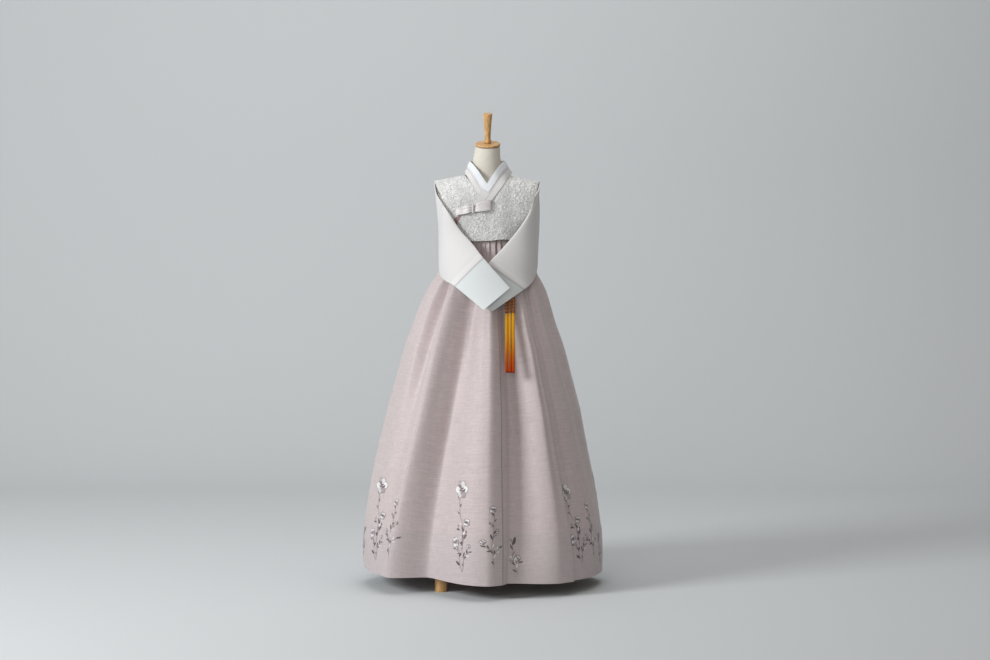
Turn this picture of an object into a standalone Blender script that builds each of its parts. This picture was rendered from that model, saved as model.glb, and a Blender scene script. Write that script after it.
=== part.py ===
"""Korean hanbok on a limbless dress form.

Metres, +Z up, the garment faces -Y, and the origin is on the floor under the middle of the part.
The chima is a wrapped skirt of six widths of silk on a chest band. The jeogori is a short lace
jacket with plain flattened sleeves crossed over the skirt, a two-band collar and a small tied bow.
Cloth is a thin wall between two grids of points. The grids come from short tables: one row for
each section of the body or fold of the skirt, joined by smooth curves.
"""

import math

import bmesh
import bpy
import numpy as np

# ---------------------------------------------------------------- driving dimensions

SEAM = 0.0003  # air left between neighbouring pieces
CLOTH = 0.0012  # wall of a cloth piece
BAND = 0.0024  # wall of the chest band

# Chima (skirt)
CHIMA_TOP = 1.345
CHIMA_HEM = 0.0535
HEM_TILT = 0.0075  # the hem hangs this much lower at +X and higher at -X
BAND_TOP = 1.378
BAND_MIDDLE = 0.002
BAND_HALF_WIDTH = 0.140
BAND_FRONT = 0.113
BAND_BACK = 0.0915
PLEAT_DEPTH = 0.005
PLEAT_STEPS = 3  # columns of the skirt to one waist pleat
WRAP_STEPS = 3  # columns that the closing edge runs past the centre back
WRAP_LIFT = 0.004

# Bodice (jeogori body)
SHOULDER_PEAK = 1.4995  # where the two shoulder lines would meet over the neck
SHOULDER_SLOPE = 0.20
SHOULDER_ROUND = 0.09  # drop over which the shoulder rounds into the chest
OUTER_LIFT = 0.0058  # the outer front lies this far over the under front
GIT_LIFT = 0.0027  # from the front to the collar band's outer face
COLLAR_WALL = 0.0011
COLLAR_GAP = 0.0008
DONGJEONG_SHARE = 0.47  # of the collar band's width

# Bow (goreum)
RIBBON = 0.0010
BOW_CLEAR = 0.0011  # from the layers under the bow to the middle of its back ribbon
KNOT_HALF_WIDTH = 0.0034
KNOT_HALF_DEPTH = 0.0066
KNOT_HALF_HEIGHT = 0.0168

# Dress form and stand
NECK_CAP_RADIUS = 0.046
FORM_MIDDLE = 0.0035
NECK_MIDDLE = 0.0065
NECK_TILT = math.radians(14.5)
FINIAL_HEIGHT = 0.118
POLE_RADIUS = 0.017
HUB_RADIUS = 0.036
FOOT_RADIUS = 0.022
ARM_RADIUS = 0.014
ARM_HEIGHT = 0.096
FOOT_REACH = 0.282
FOOT_ANGLES = (-35.3, 84.7, 204.7)  # degrees from -Y towards +X

PLACE = (0.0104, 0.0019, 0.0)  # from the dress form's axis to the middle of the part

# ---------------------------------------------------------------- tables

# Rings of the skirt without its folds.
SKIRT_RINGS = [
    # height, middle x, half width, front depth, back depth
    (0.050, -0.0105, 0.4370, 0.4330, 0.4300),
    (0.141, -0.0110, 0.4390, 0.4340, 0.4310),
    (0.287, -0.0110, 0.4235, 0.4170, 0.4150),
    (0.403, -0.0110, 0.4030, 0.3960, 0.3930),
    (0.520, -0.0100, 0.3784, 0.3700, 0.3660),
    (0.636, -0.0070, 0.3524, 0.3420, 0.3380),
    (0.753, -0.0070, 0.3210, 0.3080, 0.3040),
    (0.869, -0.0060, 0.2888, 0.2700, 0.2650),
    (0.956, -0.0060, 0.2577, 0.2360, 0.2310),
    (1.014, -0.0030, 0.2380, 0.2080, 0.2060),
    (1.073, 0.0010, 0.2130, 0.1830, 0.1800),
    (1.130, 0.0040, 0.1790, 0.1610, 0.1520),
    (1.190, 0.0040, 0.1560, 0.1410, 0.1200),
    (1.250, 0.0030, 0.1460, 0.1260, 0.0890),
    (1.300, 0.0025, 0.1420, 0.1180, 0.0880),
    (1.345, 0.0020, 0.1390, 0.1120, 0.0900),
]

# Every line that the skirt folds or is seamed along, round from the centre back.
FOLD_LINES = [
    # name, angle at waist, half way, at hem, out below the hips, half way, at hem, crisp, steps
    ("back opening", -180, -180, -180, 0.000, 0.000, 0.005, 0.0, 6),
    ("back left valley", -162, -162, -163, -0.034, -0.050, -0.055, 0.0, 6),
    ("back left ridge", -141, -142, -144, 0.000, 0.006, 0.012, 0.1, 6),
    ("back left seam", -118, -120, -122, -0.014, -0.018, -0.020, 0.9, 5),
    ("side left valley", -102, -103, -105, -0.028, -0.040, -0.046, 0.0, 5),
    ("side left ridge", -82, -84, -87, 0.000, 0.000, 0.000, 0.0, 5),
    ("front left fold", -61, -58, -68, -0.002, 0.000, 0.002, 0.3, 3),
    ("front left pinch", -54, -49.5, -60, -0.040, -0.020, -0.004, 0.3, 4),
    ("front left seam", -37, -39, -49.5, 0.002, 0.006, 0.010, 0.3, 6),
    ("front left valley", -8, -23.5, -34, -0.062, -0.090, -0.094, 0.1, 8),
    ("front crest", 6, 3.5, 2, 0.000, 0.004, 0.010, 0.15, 3),
    ("front seam", 15, 11.3, 9.9, -0.021, -0.020, -0.017, 1.0, 3),
    ("front right valley", 22, 20, 13.5, -0.050, -0.080, -0.050, 0.0, 3),
    ("front right crest", 33, 35, 37.5, 0.002, 0.008, 0.012, 0.5, 3),
    ("front right crease", 39, 40, 46, 0.000, 0.006, 0.010, 0.3, 1),
    ("tucked edge", 42, 42.5, 48.5, -0.012, -0.010, -0.004, 0.7, 6),
    ("side right seam", 62, 60, 68, -0.004, -0.002, 0.002, 0.4, 7),
    ("side right ridge", 85, 86, 89, 0.000, 0.000, 0.000, 0.0, 6),
    ("side right valley", 104, 105, 107, -0.030, -0.042, -0.048, 0.0, 5),
    ("back right seam", 122, 123, 125, -0.012, -0.015, -0.018, 0.9, 6),
    ("back right ridge", 142, 143, 144, 0.000, 0.008, 0.014, 0.1, 5),
    ("back right valley", 161, 162, 163, -0.036, -0.050, -0.055, 0.0, 6),
]

# Heights of the skirt's rows, from the waist down, as shares of its length.
SKIRT_ROWS = (0, 0.045, 0.090, 0.135, 0.180, 0.235, 0.32, 0.45, 0.62, 0.81, 1)

PANELS = [
    # name, first line, line after the last
    ("chima_panel_back_left", "back opening", "back left seam"),
    ("chima_panel_side_left", "back left seam", "front left seam"),
    ("chima_panel_front_left", "front left seam", "front seam"),
    ("chima_panel_front", "front seam", "side right seam"),
    ("chima_panel_side_right", "side right seam", "back right seam"),
    ("chima_panel_back_right", "back right seam", "wrap"),
]

# Level sections of the lace bodice. The edge depth is half the depth of the armhole.
BODICE_SECTIONS = [
    # height, middle x, half width, front depth, back depth, edge depth
    (1.2400, 0.0030, 0.1595, 0.1395, 0.1030, 0.0003),
    (1.2475, 0.0030, 0.1600, 0.1380, 0.1030, 0.0004),
    (1.2720, 0.0030, 0.1630, 0.1340, 0.1020, 0.0040),
    (1.3200, 0.0035, 0.1660, 0.1280, 0.1010, 0.0500),
    (1.3800, 0.0040, 0.1735, 0.1170, 0.0970, 0.0640),
    (1.4300, 0.0042, 0.1815, 0.1060, 0.0900, 0.0520),
    (1.4625, 0.0045, 0.1905, 0.0980, 0.0850, 0.0300),
    (1.5000, 0.0045, 0.1960, 0.0900, 0.0800, 0.0100),
]

# Seams and free edges of the bodice pieces, from the neck down, as x and z.
OUTER_FRONT_EDGE = [(0.083, 1.4825), (0.059, 1.4500), (0.018, 1.4020), (-0.014, 1.3720),
                    (-0.049, 1.3500), (-0.054, 1.3000), (-0.060, 1.2485)]
UNDER_FRONT_EDGE = [(-0.076, 1.4840), (-0.051, 1.4500), (-0.016, 1.4080), (0.016, 1.3720),
                    (0.045, 1.3400), (0.050, 1.3000), (0.052, 1.2540)]
BACK_EDGE = [(0.0740, 1.4840), (0.0560, 1.4740), (0.0000, 1.4700), (0.0000, 1.2500)]
OUTER_HEM = [(-0.060, 1.2485), (-0.045, 1.2465), (0.020, 1.2485), (0.048, 1.2530), (0.163, 1.2500)]
UNDER_HEM = [(0.052, 1.2540), (-0.020, 1.2540), (-0.080, 1.2520), (-0.157, 1.2500)]

# The collar band, from its hidden end under the outer front, round the neck, to the bow.
COLLAR_ROWS = [
    # upper edge x, y, z, lower edge x, y, z, over the outer front (0 or 1)
    (0.060, -0.080, 1.378, 0.028, -0.080, 1.340, 0),
    (0.032, -0.080, 1.412, -0.004, -0.080, 1.378, 0),
    (0.004, -0.080, 1.4525, -0.034, -0.080, 1.4200, 0),
    (-0.024, -0.064, 1.4950, -0.060, -0.060, 1.4650, 0),
    (-0.052, -0.022, 1.5310, -0.0755, -0.012, 1.4910, 0),
    (-0.045, 0.032, 1.5330, -0.061, 0.050, 1.4780, 0),
    (0.003, 0.063, 1.5230, 0.0035, 0.080, 1.4660, 0),
    (0.053, 0.032, 1.5340, 0.070, 0.050, 1.4790, 1),
    (0.061, -0.022, 1.5335, 0.0930, -0.012, 1.4920, 1),
    (0.035, -0.064, 1.4990, 0.070, -0.060, 1.4580, 1),
    (0.004, -0.080, 1.4525, 0.044, -0.080, 1.4220, 1),
    (-0.021, -0.080, 1.4160, 0.018, -0.080, 1.3870, 1),
    (-0.046, -0.080, 1.3810, -0.008, -0.080, 1.3530, 1),
]
COLLAR_STEP = 0.5  # of a row, between points along the collar
DONGJEONG_ENDS = (1.5, 10.5)  # collar rows that the white strip starts and ends at

# A sleeve's sections from near the armhole to the cuff's seam, then the cuff's end. Facing is
# the way its outer layer looks, in degrees from -Y towards +X.
SLEEVE_RIGHT = [
    # top x, y, z, bottom x, y, z, facing, bulge, hollow
    (-0.1820, -0.050, 1.432, -0.1640, 0.006, 1.243, -180, 0.000, 0.094),
    (-0.1725, -0.085, 1.403, -0.1620, 0.000, 1.210, -168, 0.002, 0.058),
    (-0.1370, -0.125, 1.350, -0.1630, -0.036, 1.158, -100, 0.004, 0.026),
    (-0.0925, -0.142, 1.287, -0.1610, -0.092, 1.121, -62, 0.016, 0.018),
    (-0.0480, -0.168, 1.239, -0.1420, -0.150, 1.104, -38, 0.014, 0.013),
    (-0.0072, -0.199, 1.188, -0.1095, -0.194, 1.087, -14, 0.006, 0.011),
    (0.0860, -0.224, 1.084, -0.0080, -0.246, 1.006, 0, 0.002, 0.011),
]
SLEEVE_LEFT = [
    (0.1925, -0.050, 1.436, 0.1720, 0.006, 1.243, 180, 0.000, 0.094),
    (0.1810, -0.085, 1.408, 0.1730, 0.000, 1.212, 152, 0.007, 0.060),
    (0.1590, -0.117, 1.350, 0.1805, -0.036, 1.160, 100, 0.004, 0.026),
    (0.1140, -0.138, 1.284, 0.1775, -0.082, 1.122, 62, 0.016, 0.018),
    (0.0600, -0.156, 1.221, 0.1640, -0.134, 1.098, 38, 0.010, 0.013),
    (0.0056, -0.181, 1.165, 0.1362, -0.166, 1.0745, 14, 0.004, 0.011),
    (-0.0730, -0.2030, 1.067, 0.0241, -0.226, 1.000, 0, 0.002, 0.011),
]
SLEEVE_TURNS = 16  # points round a sleeve
SLEEVE_FILL = 2  # rows between two sections

# The bow: centre line of each ribbon, and half its width up and down.
BOW_MIDDLE = (-0.0457, 1.3640)
LOOP_RIGHT = [
    # along x, forward, up, half width
    (0.0042, 0.0040, 0.0000, 0.0110),
    (0.0200, 0.0120, 0.0045, 0.0160),
    (0.0470, 0.0125, 0.0100, 0.0180),
    (0.0640, 0.0070, 0.0125, 0.0175),
    (0.0550, 0.0012, 0.0110, 0.0170),
    (0.0220, 0.0002, 0.0045, 0.0150),
    (0.0042, 0.0004, 0.0000, 0.0100),
]
LOOP_LEFT = [
    (-0.0042, 0.0040, 0.0000, 0.0110),
    (-0.0200, 0.0110, -0.0030, 0.0140),
    (-0.0440, 0.0115, -0.0090, 0.0130),
    (-0.0610, 0.0065, -0.0135, 0.0115),
    (-0.0520, 0.0012, -0.0120, 0.0115),
    (-0.0220, 0.0002, -0.0030, 0.0130),
    (-0.0042, 0.0004, 0.0000, 0.0100),
]
TAIL = [
    # x, z, half width
    (-0.0960, 1.3360, 0.0080),
    (-0.1040, 1.3280, 0.0085),
    (-0.1090, 1.3150, 0.0085),
    (-0.1120, 1.3000, 0.0090),
    (-0.1140, 1.2850, 0.0090),
]

# Pendant: the cord's own route from the chest band, then the tassel down the skirt.
CORD_RADIUS = 0.0015
CORD_ROUTE = [
    (0.1120, -0.0990, 1.272),
    (0.1120, -0.1070, 1.245),
    (0.1080, -0.1180, 1.200),
    (0.1020, -0.1330, 1.150),
    (0.0940, -0.1490, 1.105),
    (0.0880, -0.1660, 1.072),
    (0.0860, -0.1770, 1.0505),
]
TASSEL_TOP = (0.0860, -0.1775, 1.0480)
TASSEL_FOOT = (0.0860, -0.2900, 0.7890)
TASSEL_HEAD = 0.062
TASSEL_PITCH = 0.0118
TASSEL_COUNT = 3

# Level sections of the covered dress form.
FORM_SECTIONS = [
    # height, half width, front depth, back depth
    (0.848, 0.136, 0.100, 0.096),
    (0.856, 0.146, 0.108, 0.104),
    (0.920, 0.150, 0.110, 0.108),
    (1.020, 0.127, 0.096, 0.090),
    (1.110, 0.110, 0.086, 0.074),
    (1.200, 0.116, 0.094, 0.076),
    (1.310, 0.127, 0.100, 0.082),
    (1.385, 0.131, 0.094, 0.080),
    (1.410, 0.148, 0.090, 0.078),
    (1.432, 0.158, 0.080, 0.072),
    (1.452, 0.146, 0.068, 0.062),
    (1.466, 0.098, 0.055, 0.053),
    (1.484, 0.064, 0.0530, 0.0530),
    (1.510, 0.0560, 0.0515, 0.0510),
    (1.545, 0.0490, 0.0480, 0.0470),
    (1.5885, 0.0440, 0.0440, 0.0440),
]

# ---------------------------------------------------------------- materials

FINISHES = {
    # slot: (red, green, blue, roughness)
    "mauve_silk": (0.600, 0.520, 0.520, 0.55),
    "chest_band_cotton": (0.800, 0.780, 0.760, 0.85),
    "ivory_lace": (0.800, 0.790, 0.760, 0.80),
    "ivory_silk": (0.820, 0.790, 0.760, 0.60),
    "white_silk": (0.780, 0.820, 0.830, 0.60),
    "white_cotton": (0.840, 0.860, 0.890, 0.75),
    "dusty_pink_ribbon": (0.660, 0.530, 0.540, 0.50),
    "norigae_cord_silk": (0.700, 0.300, 0.050, 0.55),
    "norigae_bead_thread": (0.600, 0.250, 0.040, 0.50),
    "norigae_fringe_silk": (0.850, 0.330, 0.020, 0.45),
    "form_linen": (0.780, 0.760, 0.690, 0.90),
    "maple_wood": (0.620, 0.380, 0.200, 0.45),
}


def finish(slot):
    """The named material, made once."""
    material = bpy.data.materials.get(slot)
    if material is None:
        red, green, blue, roughness = FINISHES[slot]
        material = bpy.data.materials.new(slot)
        material.use_nodes = True
        shader = material.node_tree.nodes["Principled BSDF"]
        shader.inputs["Base Color"].default_value = (red, green, blue, 1)
        shader.inputs["Roughness"].default_value = roughness
        material.diffuse_color = (red, green, blue, 1)
    return material


# ---------------------------------------------------------------- curves and grids


def hermite(start, end, start_slope, end_slope, share):
    """Cubic from start to end as share goes from 0 to 1."""
    square = share * share
    cube = square * share
    return (
        (2 * cube - 3 * square + 1) * start
        + (cube - 2 * square + share) * start_slope
        + (3 * square - 2 * cube) * end
        + (cube - square) * end_slope
    )


def along(knots, values, at):
    """Smooth curve through values given at increasing knots, read at the places `at`."""
    knots = np.asarray(knots, float)
    values = np.asarray(values, float)
    at = np.asarray(at, float)
    slopes = np.gradient(values, knots, axis=0)
    index = np.clip(np.searchsorted(knots, at, side="right") - 1, 0, len(knots) - 2)
    length = knots[index + 1] - knots[index]
    share = np.clip((at - knots[index]) / length, 0, 1)
    length = length.reshape(length.shape + (1,) * (values.ndim - 1))
    share = share.reshape(length.shape)
    return hermite(
        values[index], values[index + 1], slopes[index] * length, slopes[index + 1] * length, share
    )


def ease(low, high, value):
    """0 below low, 1 above high, and smooth between."""
    share = np.clip((value - low) / (high - low), 0, 1)
    return share * share * (3 - 2 * share)


def unit(vectors):
    return vectors / np.maximum(np.linalg.norm(vectors, axis=-1, keepdims=True), 1e-12)


def facing_of(grid, round_columns=False):
    """Unit vector square to the grid at each point."""
    down = np.gradient(grid, axis=0)
    if round_columns:
        across = np.roll(grid, -1, axis=1) - np.roll(grid, 1, axis=1)
    else:
        across = np.gradient(grid, axis=1)
    return unit(np.cross(down, across))


def drawn_in(grid, amount, first_row=False, last_row=False, columns=False):
    """The grid with its named edges moved towards their neighbours by the amount."""
    grid = grid.copy()
    if first_row:
        grid[0] += unit(grid[1] - grid[0]) * amount
    if last_row:
        grid[-1] += unit(grid[-2] - grid[-1]) * amount
    if columns:
        grid[:, 0] += unit(grid[:, 1] - grid[:, 0]) * amount
        grid[:, -1] += unit(grid[:, -2] - grid[:, -1]) * amount
    return grid


# ---------------------------------------------------------------- solids


def add_object(name, points, faces, slot, smooth=True):
    """One closed mesh object with its faces turned out."""
    mesh = bpy.data.meshes.new(name)
    mesh.from_pydata((np.asarray(points) + PLACE).tolist(), [], faces)
    work = bmesh.new()
    work.from_mesh(mesh)
    bmesh.ops.recalc_face_normals(work, faces=work.faces)
    work.to_mesh(mesh)
    work.free()
    mesh.materials.append(finish(slot))
    if smooth:
        mesh.shade_smooth()
        mesh.set_sharp_from_angle(angle=math.radians(40))
    item = bpy.data.objects.new(name, mesh)
    bpy.context.scene.collection.objects.link(item)
    return item


def wall_between(name, outer, inner, slot, round_columns=False):
    """Closed wall of cloth between two grids of the same shape.

    With round_columns the last column joins the first, which makes a tube with open ends.
    """
    rows, columns = outer.shape[:2]
    index = np.arange(rows * columns).reshape(rows, columns)
    if round_columns:
        index = np.concatenate([index, index[:, :1]], axis=1)
    shift = rows * columns
    corners = [index[:-1, :-1], index[1:, :-1], index[1:, 1:], index[:-1, 1:]]
    quads = np.stack([corner.ravel() for corner in corners], axis=1)
    halves = np.concatenate([quads[:, [0, 1, 2]], quads[:, [0, 2, 3]]])
    faces = halves.tolist() + (halves[:, ::-1] + shift).tolist()
    edges = [index[0], index[-1]]
    if not round_columns:
        edges += [index[:, 0], index[:, -1]]
    for edge in edges:
        for here, there in zip(edge[:-1].tolist(), edge[1:].tolist()):
            faces.append((here, there, there + shift, here + shift))
    points = np.concatenate([outer.reshape(-1, 3), inner.reshape(-1, 3)])
    return add_object(name, points, faces, slot)


def sheet(name, outer, outward, slot, wall=CLOTH):
    """Cloth wall under a grid, towards the side away from the vector `outward`."""
    normals = facing_of(outer)
    turn = np.sign(np.sum(normals * outward, axis=-1, keepdims=True).mean())
    return wall_between(name, outer, outer - normals * turn * wall, slot)


def loft(name, rings, slot):
    """Solid through rings of points, closed with a flat fan at both ends."""
    rings = np.asarray(rings, float)
    count, turns = rings.shape[:2]
    faces = []
    for row in range(count - 1):
        for turn in range(turns):
            after = (turn + 1) % turns
            low = row * turns
            high = low + turns
            faces.append((low + turn, low + after, high + after, high + turn))
    faces.append(tuple(range(turns)))
    faces.append(tuple(range((count - 1) * turns, count * turns)))
    return add_object(name, rings.reshape(-1, 3), faces, slot)


def turned(name, profile, slot, turns=24, place=(0, 0, 0), tilt=0.0):
    """Turned solid: radius and height pairs round +Z, leaned towards -Y by tilt, at a place."""
    angles = np.linspace(0, 2 * math.pi, turns, endpoint=False)
    rings = []
    for radius, height in profile:
        flat = np.stack([radius * np.sin(angles), -radius * np.cos(angles)], axis=1)
        y = flat[:, 1] * math.cos(tilt) - height * math.sin(tilt)
        z = height * math.cos(tilt) + flat[:, 1] * math.sin(tilt)
        rings.append(np.stack([flat[:, 0], y, z], axis=1) + np.asarray(place))
    return loft(name, rings, slot)


# ---------------------------------------------------------------- chima


def fold_line_steps():
    """Column of the skirt that each fold line stands on, and the column count."""
    steps = [row[8] for row in FOLD_LINES]
    return np.concatenate([[0], np.cumsum(steps)])


def three_point(first, second, third, knots, at):
    """Parabola through three values at three knots."""
    a, b, c = knots
    return (
        first * (at - b) * (at - c) / ((a - b) * (a - c))
        + second * (at - a) * (at - c) / ((b - a) * (b - c))
        + third * (at - a) * (at - b) / ((c - a) * (c - b))
    )


def skirt_points(columns, shares):
    """Points of the skirt's outer face, one row for each share of its length."""
    lines = np.array([row[1:8] for row in FOLD_LINES])
    closing = lines[:1].copy()
    closing[0, :3] += 360
    lines = np.concatenate([lines, closing])
    stops = fold_line_steps()
    total = stops[-1]
    turn = np.floor(columns / total)
    local = columns - turn * total
    index = np.clip(np.searchsorted(stops, local, side="right") - 1, 0, len(stops) - 2)
    share = ((local - stops[index]) / (stops[index + 1] - stops[index]))[None, :]

    down = np.asarray(shares)[:, None]
    angles = three_point(*(lines[None, :, k] for k in range(3)), (0, 0.5, 1), down)
    outs = three_point(*(lines[None, :, k] for k in (3, 4, 5)), (0.25, 0.55, 1), np.maximum(down, 0.2))
    crisp = lines[:, 6]
    change = outs[:, index + 1] - outs[:, index]
    fold = hermite(
        outs[:, index], outs[:, index + 1], crisp[index] * change, crisp[index + 1] * change, share
    )
    angle = angles[:, index] * (1 - share) + angles[:, index + 1] * share + 360 * turn
    angle = np.radians(angle)
    fold = fold * ease(0.10, 0.27, down)
    phase = np.mod(columns / PLEAT_STEPS, 1)[None, :]
    pleat = PLEAT_DEPTH * np.interp(phase, [0, 2 / 3, 1], [-0.5, 0.5, -0.5])
    fold = fold + pleat * (1 - ease(0.14, 0.29, down))

    hem = CHIMA_HEM - HEM_TILT * np.sin(angle)
    height = CHIMA_TOP + (hem - CHIMA_TOP) * down
    rings = np.array(SKIRT_RINGS)
    middle, width, front, back = np.moveaxis(along(rings[:, 0], rings[:, 1:], height), -1, 0)
    depth = np.where(np.cos(angle) > 0, front, back)
    x = middle + (width + fold) * np.sin(angle)
    y = -(depth + fold) * np.cos(angle)
    return np.stack([x, y, height], axis=-1)


def build_chima():
    stops = dict(zip([row[0] for row in FOLD_LINES], fold_line_steps()))
    total = fold_line_steps()[-1]
    stops["wrap"] = total + WRAP_STEPS
    columns = np.arange(-1, stops["wrap"] + 2)
    outer = skirt_points(columns.astype(float), SKIRT_ROWS)
    normals = facing_of(outer)
    normals *= np.sign(np.sum(normals[..., :2] * outer[..., :2]))
    lift = WRAP_LIFT * ease(total - 4, total - 1, columns)[None, :, None]
    outer = outer + normals * lift
    inner = outer - normals * CLOTH
    for name, first, last in PANELS:
        span = slice(stops[first] + 1, stops[last] + 2)
        faces = [
            drawn_in(grid[:, span], SEAM / 2, first_row=True, columns=True)
            for grid in (outer, inner)
        ]
        wall_between(name, *faces, "mauve_silk")

    angles = np.linspace(0, 2 * math.pi, 36, endpoint=False)
    grids = []
    for wall in (0, BAND):
        depth = np.where(np.cos(angles) > 0, BAND_FRONT, BAND_BACK) - wall
        x = BAND_MIDDLE + (BAND_HALF_WIDTH - wall) * np.sin(angles)
        y = -depth * np.cos(angles)
        rows = [np.stack([x, y, 0 * x + z], axis=1) for z in (CHIMA_TOP + SEAM, BAND_TOP)]
        grids.append(np.array(rows))
    wall_between("chima_waistband", *grids, "chest_band_cotton", round_columns=True)


# ---------------------------------------------------------------- jeogori body


def bodice_section(height):
    sections = np.array(BODICE_SECTIONS)
    return np.moveaxis(along(sections[:, 0], sections[:, 1:], height), -1, 0)


def bodice_y(x, z, front):
    """Depth of the bodice's outer face at x and z: an oval section, rounded over the shoulder."""
    middle, width, front_depth, back_depth, edge = bodice_section(z)
    share = np.clip(np.abs(x - middle) / width, 0, 1)
    depth = front_depth if front else back_depth
    depth = edge + (depth - edge) * (1 - share**2.5) ** 0.4
    drop = np.clip((SHOULDER_PEAK - SHOULDER_SLOPE * np.abs(x) - z) / SHOULDER_ROUND, 0.0004, 1)
    depth = depth * np.sqrt(1 - (1 - drop) ** 2)
    return -depth if front else depth


def armhole_x(z, side):
    middle, width = bodice_section(z)[:2]
    return middle + side * width


def shoulder_z(x):
    return SHOULDER_PEAK - SHOULDER_SLOPE * np.abs(x)


def read_edge(points, share):
    """Places along a chain of straight runs, by share of its length."""
    points = np.asarray(points, float)
    steps = np.linalg.norm(np.diff(points, axis=0), axis=1)
    knots = np.concatenate([[0], np.cumsum(steps)]) / steps.sum()
    return np.stack([np.interp(share, knots, values) for values in points.T], axis=-1)


def read_route(points, share):
    """Places along a smooth curve through points, by share of its length."""
    points = np.asarray(points, float)
    steps = np.linalg.norm(np.diff(points, axis=0), axis=1)
    knots = np.concatenate([[0], np.cumsum(steps)]) / steps.sum()
    return along(knots, points, share)


def patch(left, right, top, bottom, shares):
    """Coons patch between four edges: left and right run down by shares, top and bottom across."""
    down = shares[:, None, None]
    across = np.linspace(0, 1, len(top))[None, :, None]
    sides = left[:, None] * (1 - across) + right[:, None] * across
    ends = top[None] * (1 - down) + bottom[None] * down
    corners = (
        top[0] * (1 - down) * (1 - across)
        + top[-1] * (1 - down) * across
        + bottom[0] * down * (1 - across)
        + bottom[-1] * down * across
    )
    return sides + ends - corners


def outer_ramp(x):
    """How far over the under front the outer front lies at x."""
    return OUTER_LIFT * (1 - ease(0.052, 0.100, x))


def bodice_piece(name, neck_edge, hem_edge, side, front, lifted=False):
    """One piece of the bodice between its neck or centre edge and its armhole."""
    columns = 8
    shares = np.linspace(0, 1, 10) ** 1.6
    left = read_edge(neck_edge, shares)
    hem = read_edge(hem_edge, np.linspace(0, 1, columns))
    shoulder_point = armhole_x(1.4615, side)
    top_x = np.linspace(left[0, 0], shoulder_point, columns)
    top = np.stack([top_x, shoulder_z(top_x)], axis=1)
    left[0] = top[0]
    arm_z = top[-1, 1] + (hem[-1, 1] - top[-1, 1]) * shares
    right = np.stack([armhole_x(arm_z, side), arm_z], axis=1)
    hem[-1] = right[-1]
    x, z = np.moveaxis(patch(left, right, top, hem, shares), -1, 0)
    y = bodice_y(x, z, front)
    if lifted:
        y = y - outer_ramp(x)
    grid = np.stack([x, y, z], axis=-1)
    forward = -1 if front else 1
    grid[0, :, 1] += SEAM * forward
    sheet(name, drawn_in(grid, SEAM, columns=True), (0, forward, 0.5), "ivory_lace")


def build_bodice():
    bodice_piece("jeogori_front_outer", OUTER_FRONT_EDGE, OUTER_HEM, 1, True, lifted=True)
    bodice_piece("jeogori_front_under", UNDER_FRONT_EDGE, UNDER_HEM, -1, True)
    for side, name in ((1, "jeogori_back_left"), (-1, "jeogori_back_right")):
        edge = [(FORM_MIDDLE + side * out, z) for out, z in BACK_EDGE]
        hem = [(FORM_MIDDLE, 1.2500), (armhole_x(1.25, side), 1.2500)]
        bodice_piece(name, edge, hem, side, False)


# ---------------------------------------------------------------- sleeves and cuffs


def round_layout():
    """Shares from top to bottom and side of the hollow for the points round a sleeve."""
    angles = np.linspace(0, 2 * math.pi, SLEEVE_TURNS, endpoint=False)
    return (1 - np.cos(angles)) / 2, np.sin(angles)


def armhole_loop(side):
    """Loop just outside the bodice's armhole, from the shoulder down its back and up its front."""
    share, sine = round_layout()
    top, bottom = 1.4608, 1.2600
    z = top + (bottom - top) * share
    x = armhole_x(z, side) + side * 5 * SEAM
    back = bodice_y(armhole_x(z, side), z, False)
    front = bodice_y(armhole_x(z, side), z, True)
    y = np.where(sine > 0, back, front)
    y = np.where(np.abs(sine) < 1e-6, (back + front) / 2, y)
    return np.stack([x, y, z], axis=1)


def section_loop(row):
    """Flattened oval between a section's top and bottom points."""
    top = np.array(row[0:3])
    bottom = np.array(row[3:6])
    facing, bulge, hollow = row[6:9]
    turn = math.radians(facing)
    out = np.array([math.sin(turn), -math.cos(turn), 0])
    share, sine = round_layout()
    middle = top * (1 - share[:, None]) + bottom * share[:, None]
    middle = middle + out * (4 * bulge * share * (1 - share))[:, None]
    half = hollow / 2 * np.sign(sine) * np.abs(sine) ** 0.6
    return middle + out * half[:, None]


def build_sleeve(side, rows, sleeve_name, cuff_name):
    loops = [armhole_loop(side)] + [section_loop(row) for row in rows]
    loops = np.array(loops)
    seam = len(rows) - 1
    knots = np.arange(len(loops))
    fine = along(knots, loops, np.linspace(0, seam, seam * SLEEVE_FILL + 1))
    cuff = along(knots, loops, np.linspace(seam, seam + 1, 3))
    whole = np.concatenate([fine, cuff[1:]])
    normals = facing_of(whole, round_columns=True)
    middle = whole.mean(axis=1, keepdims=True)
    normals *= np.sign(np.sum(normals * (whole - middle)))
    inner = whole - normals * CLOTH
    count = len(fine)
    sleeve = [drawn_in(grid[:count], SEAM / 2, last_row=True) for grid in (whole, inner)]
    wall_between(sleeve_name, *sleeve, "ivory_silk", round_columns=True)
    end = [drawn_in(grid[count - 1 :], SEAM / 2, first_row=True) for grid in (whole, inner)]
    wall_between(cuff_name, *end, "white_silk", round_columns=True)


# ---------------------------------------------------------------- collar


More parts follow.
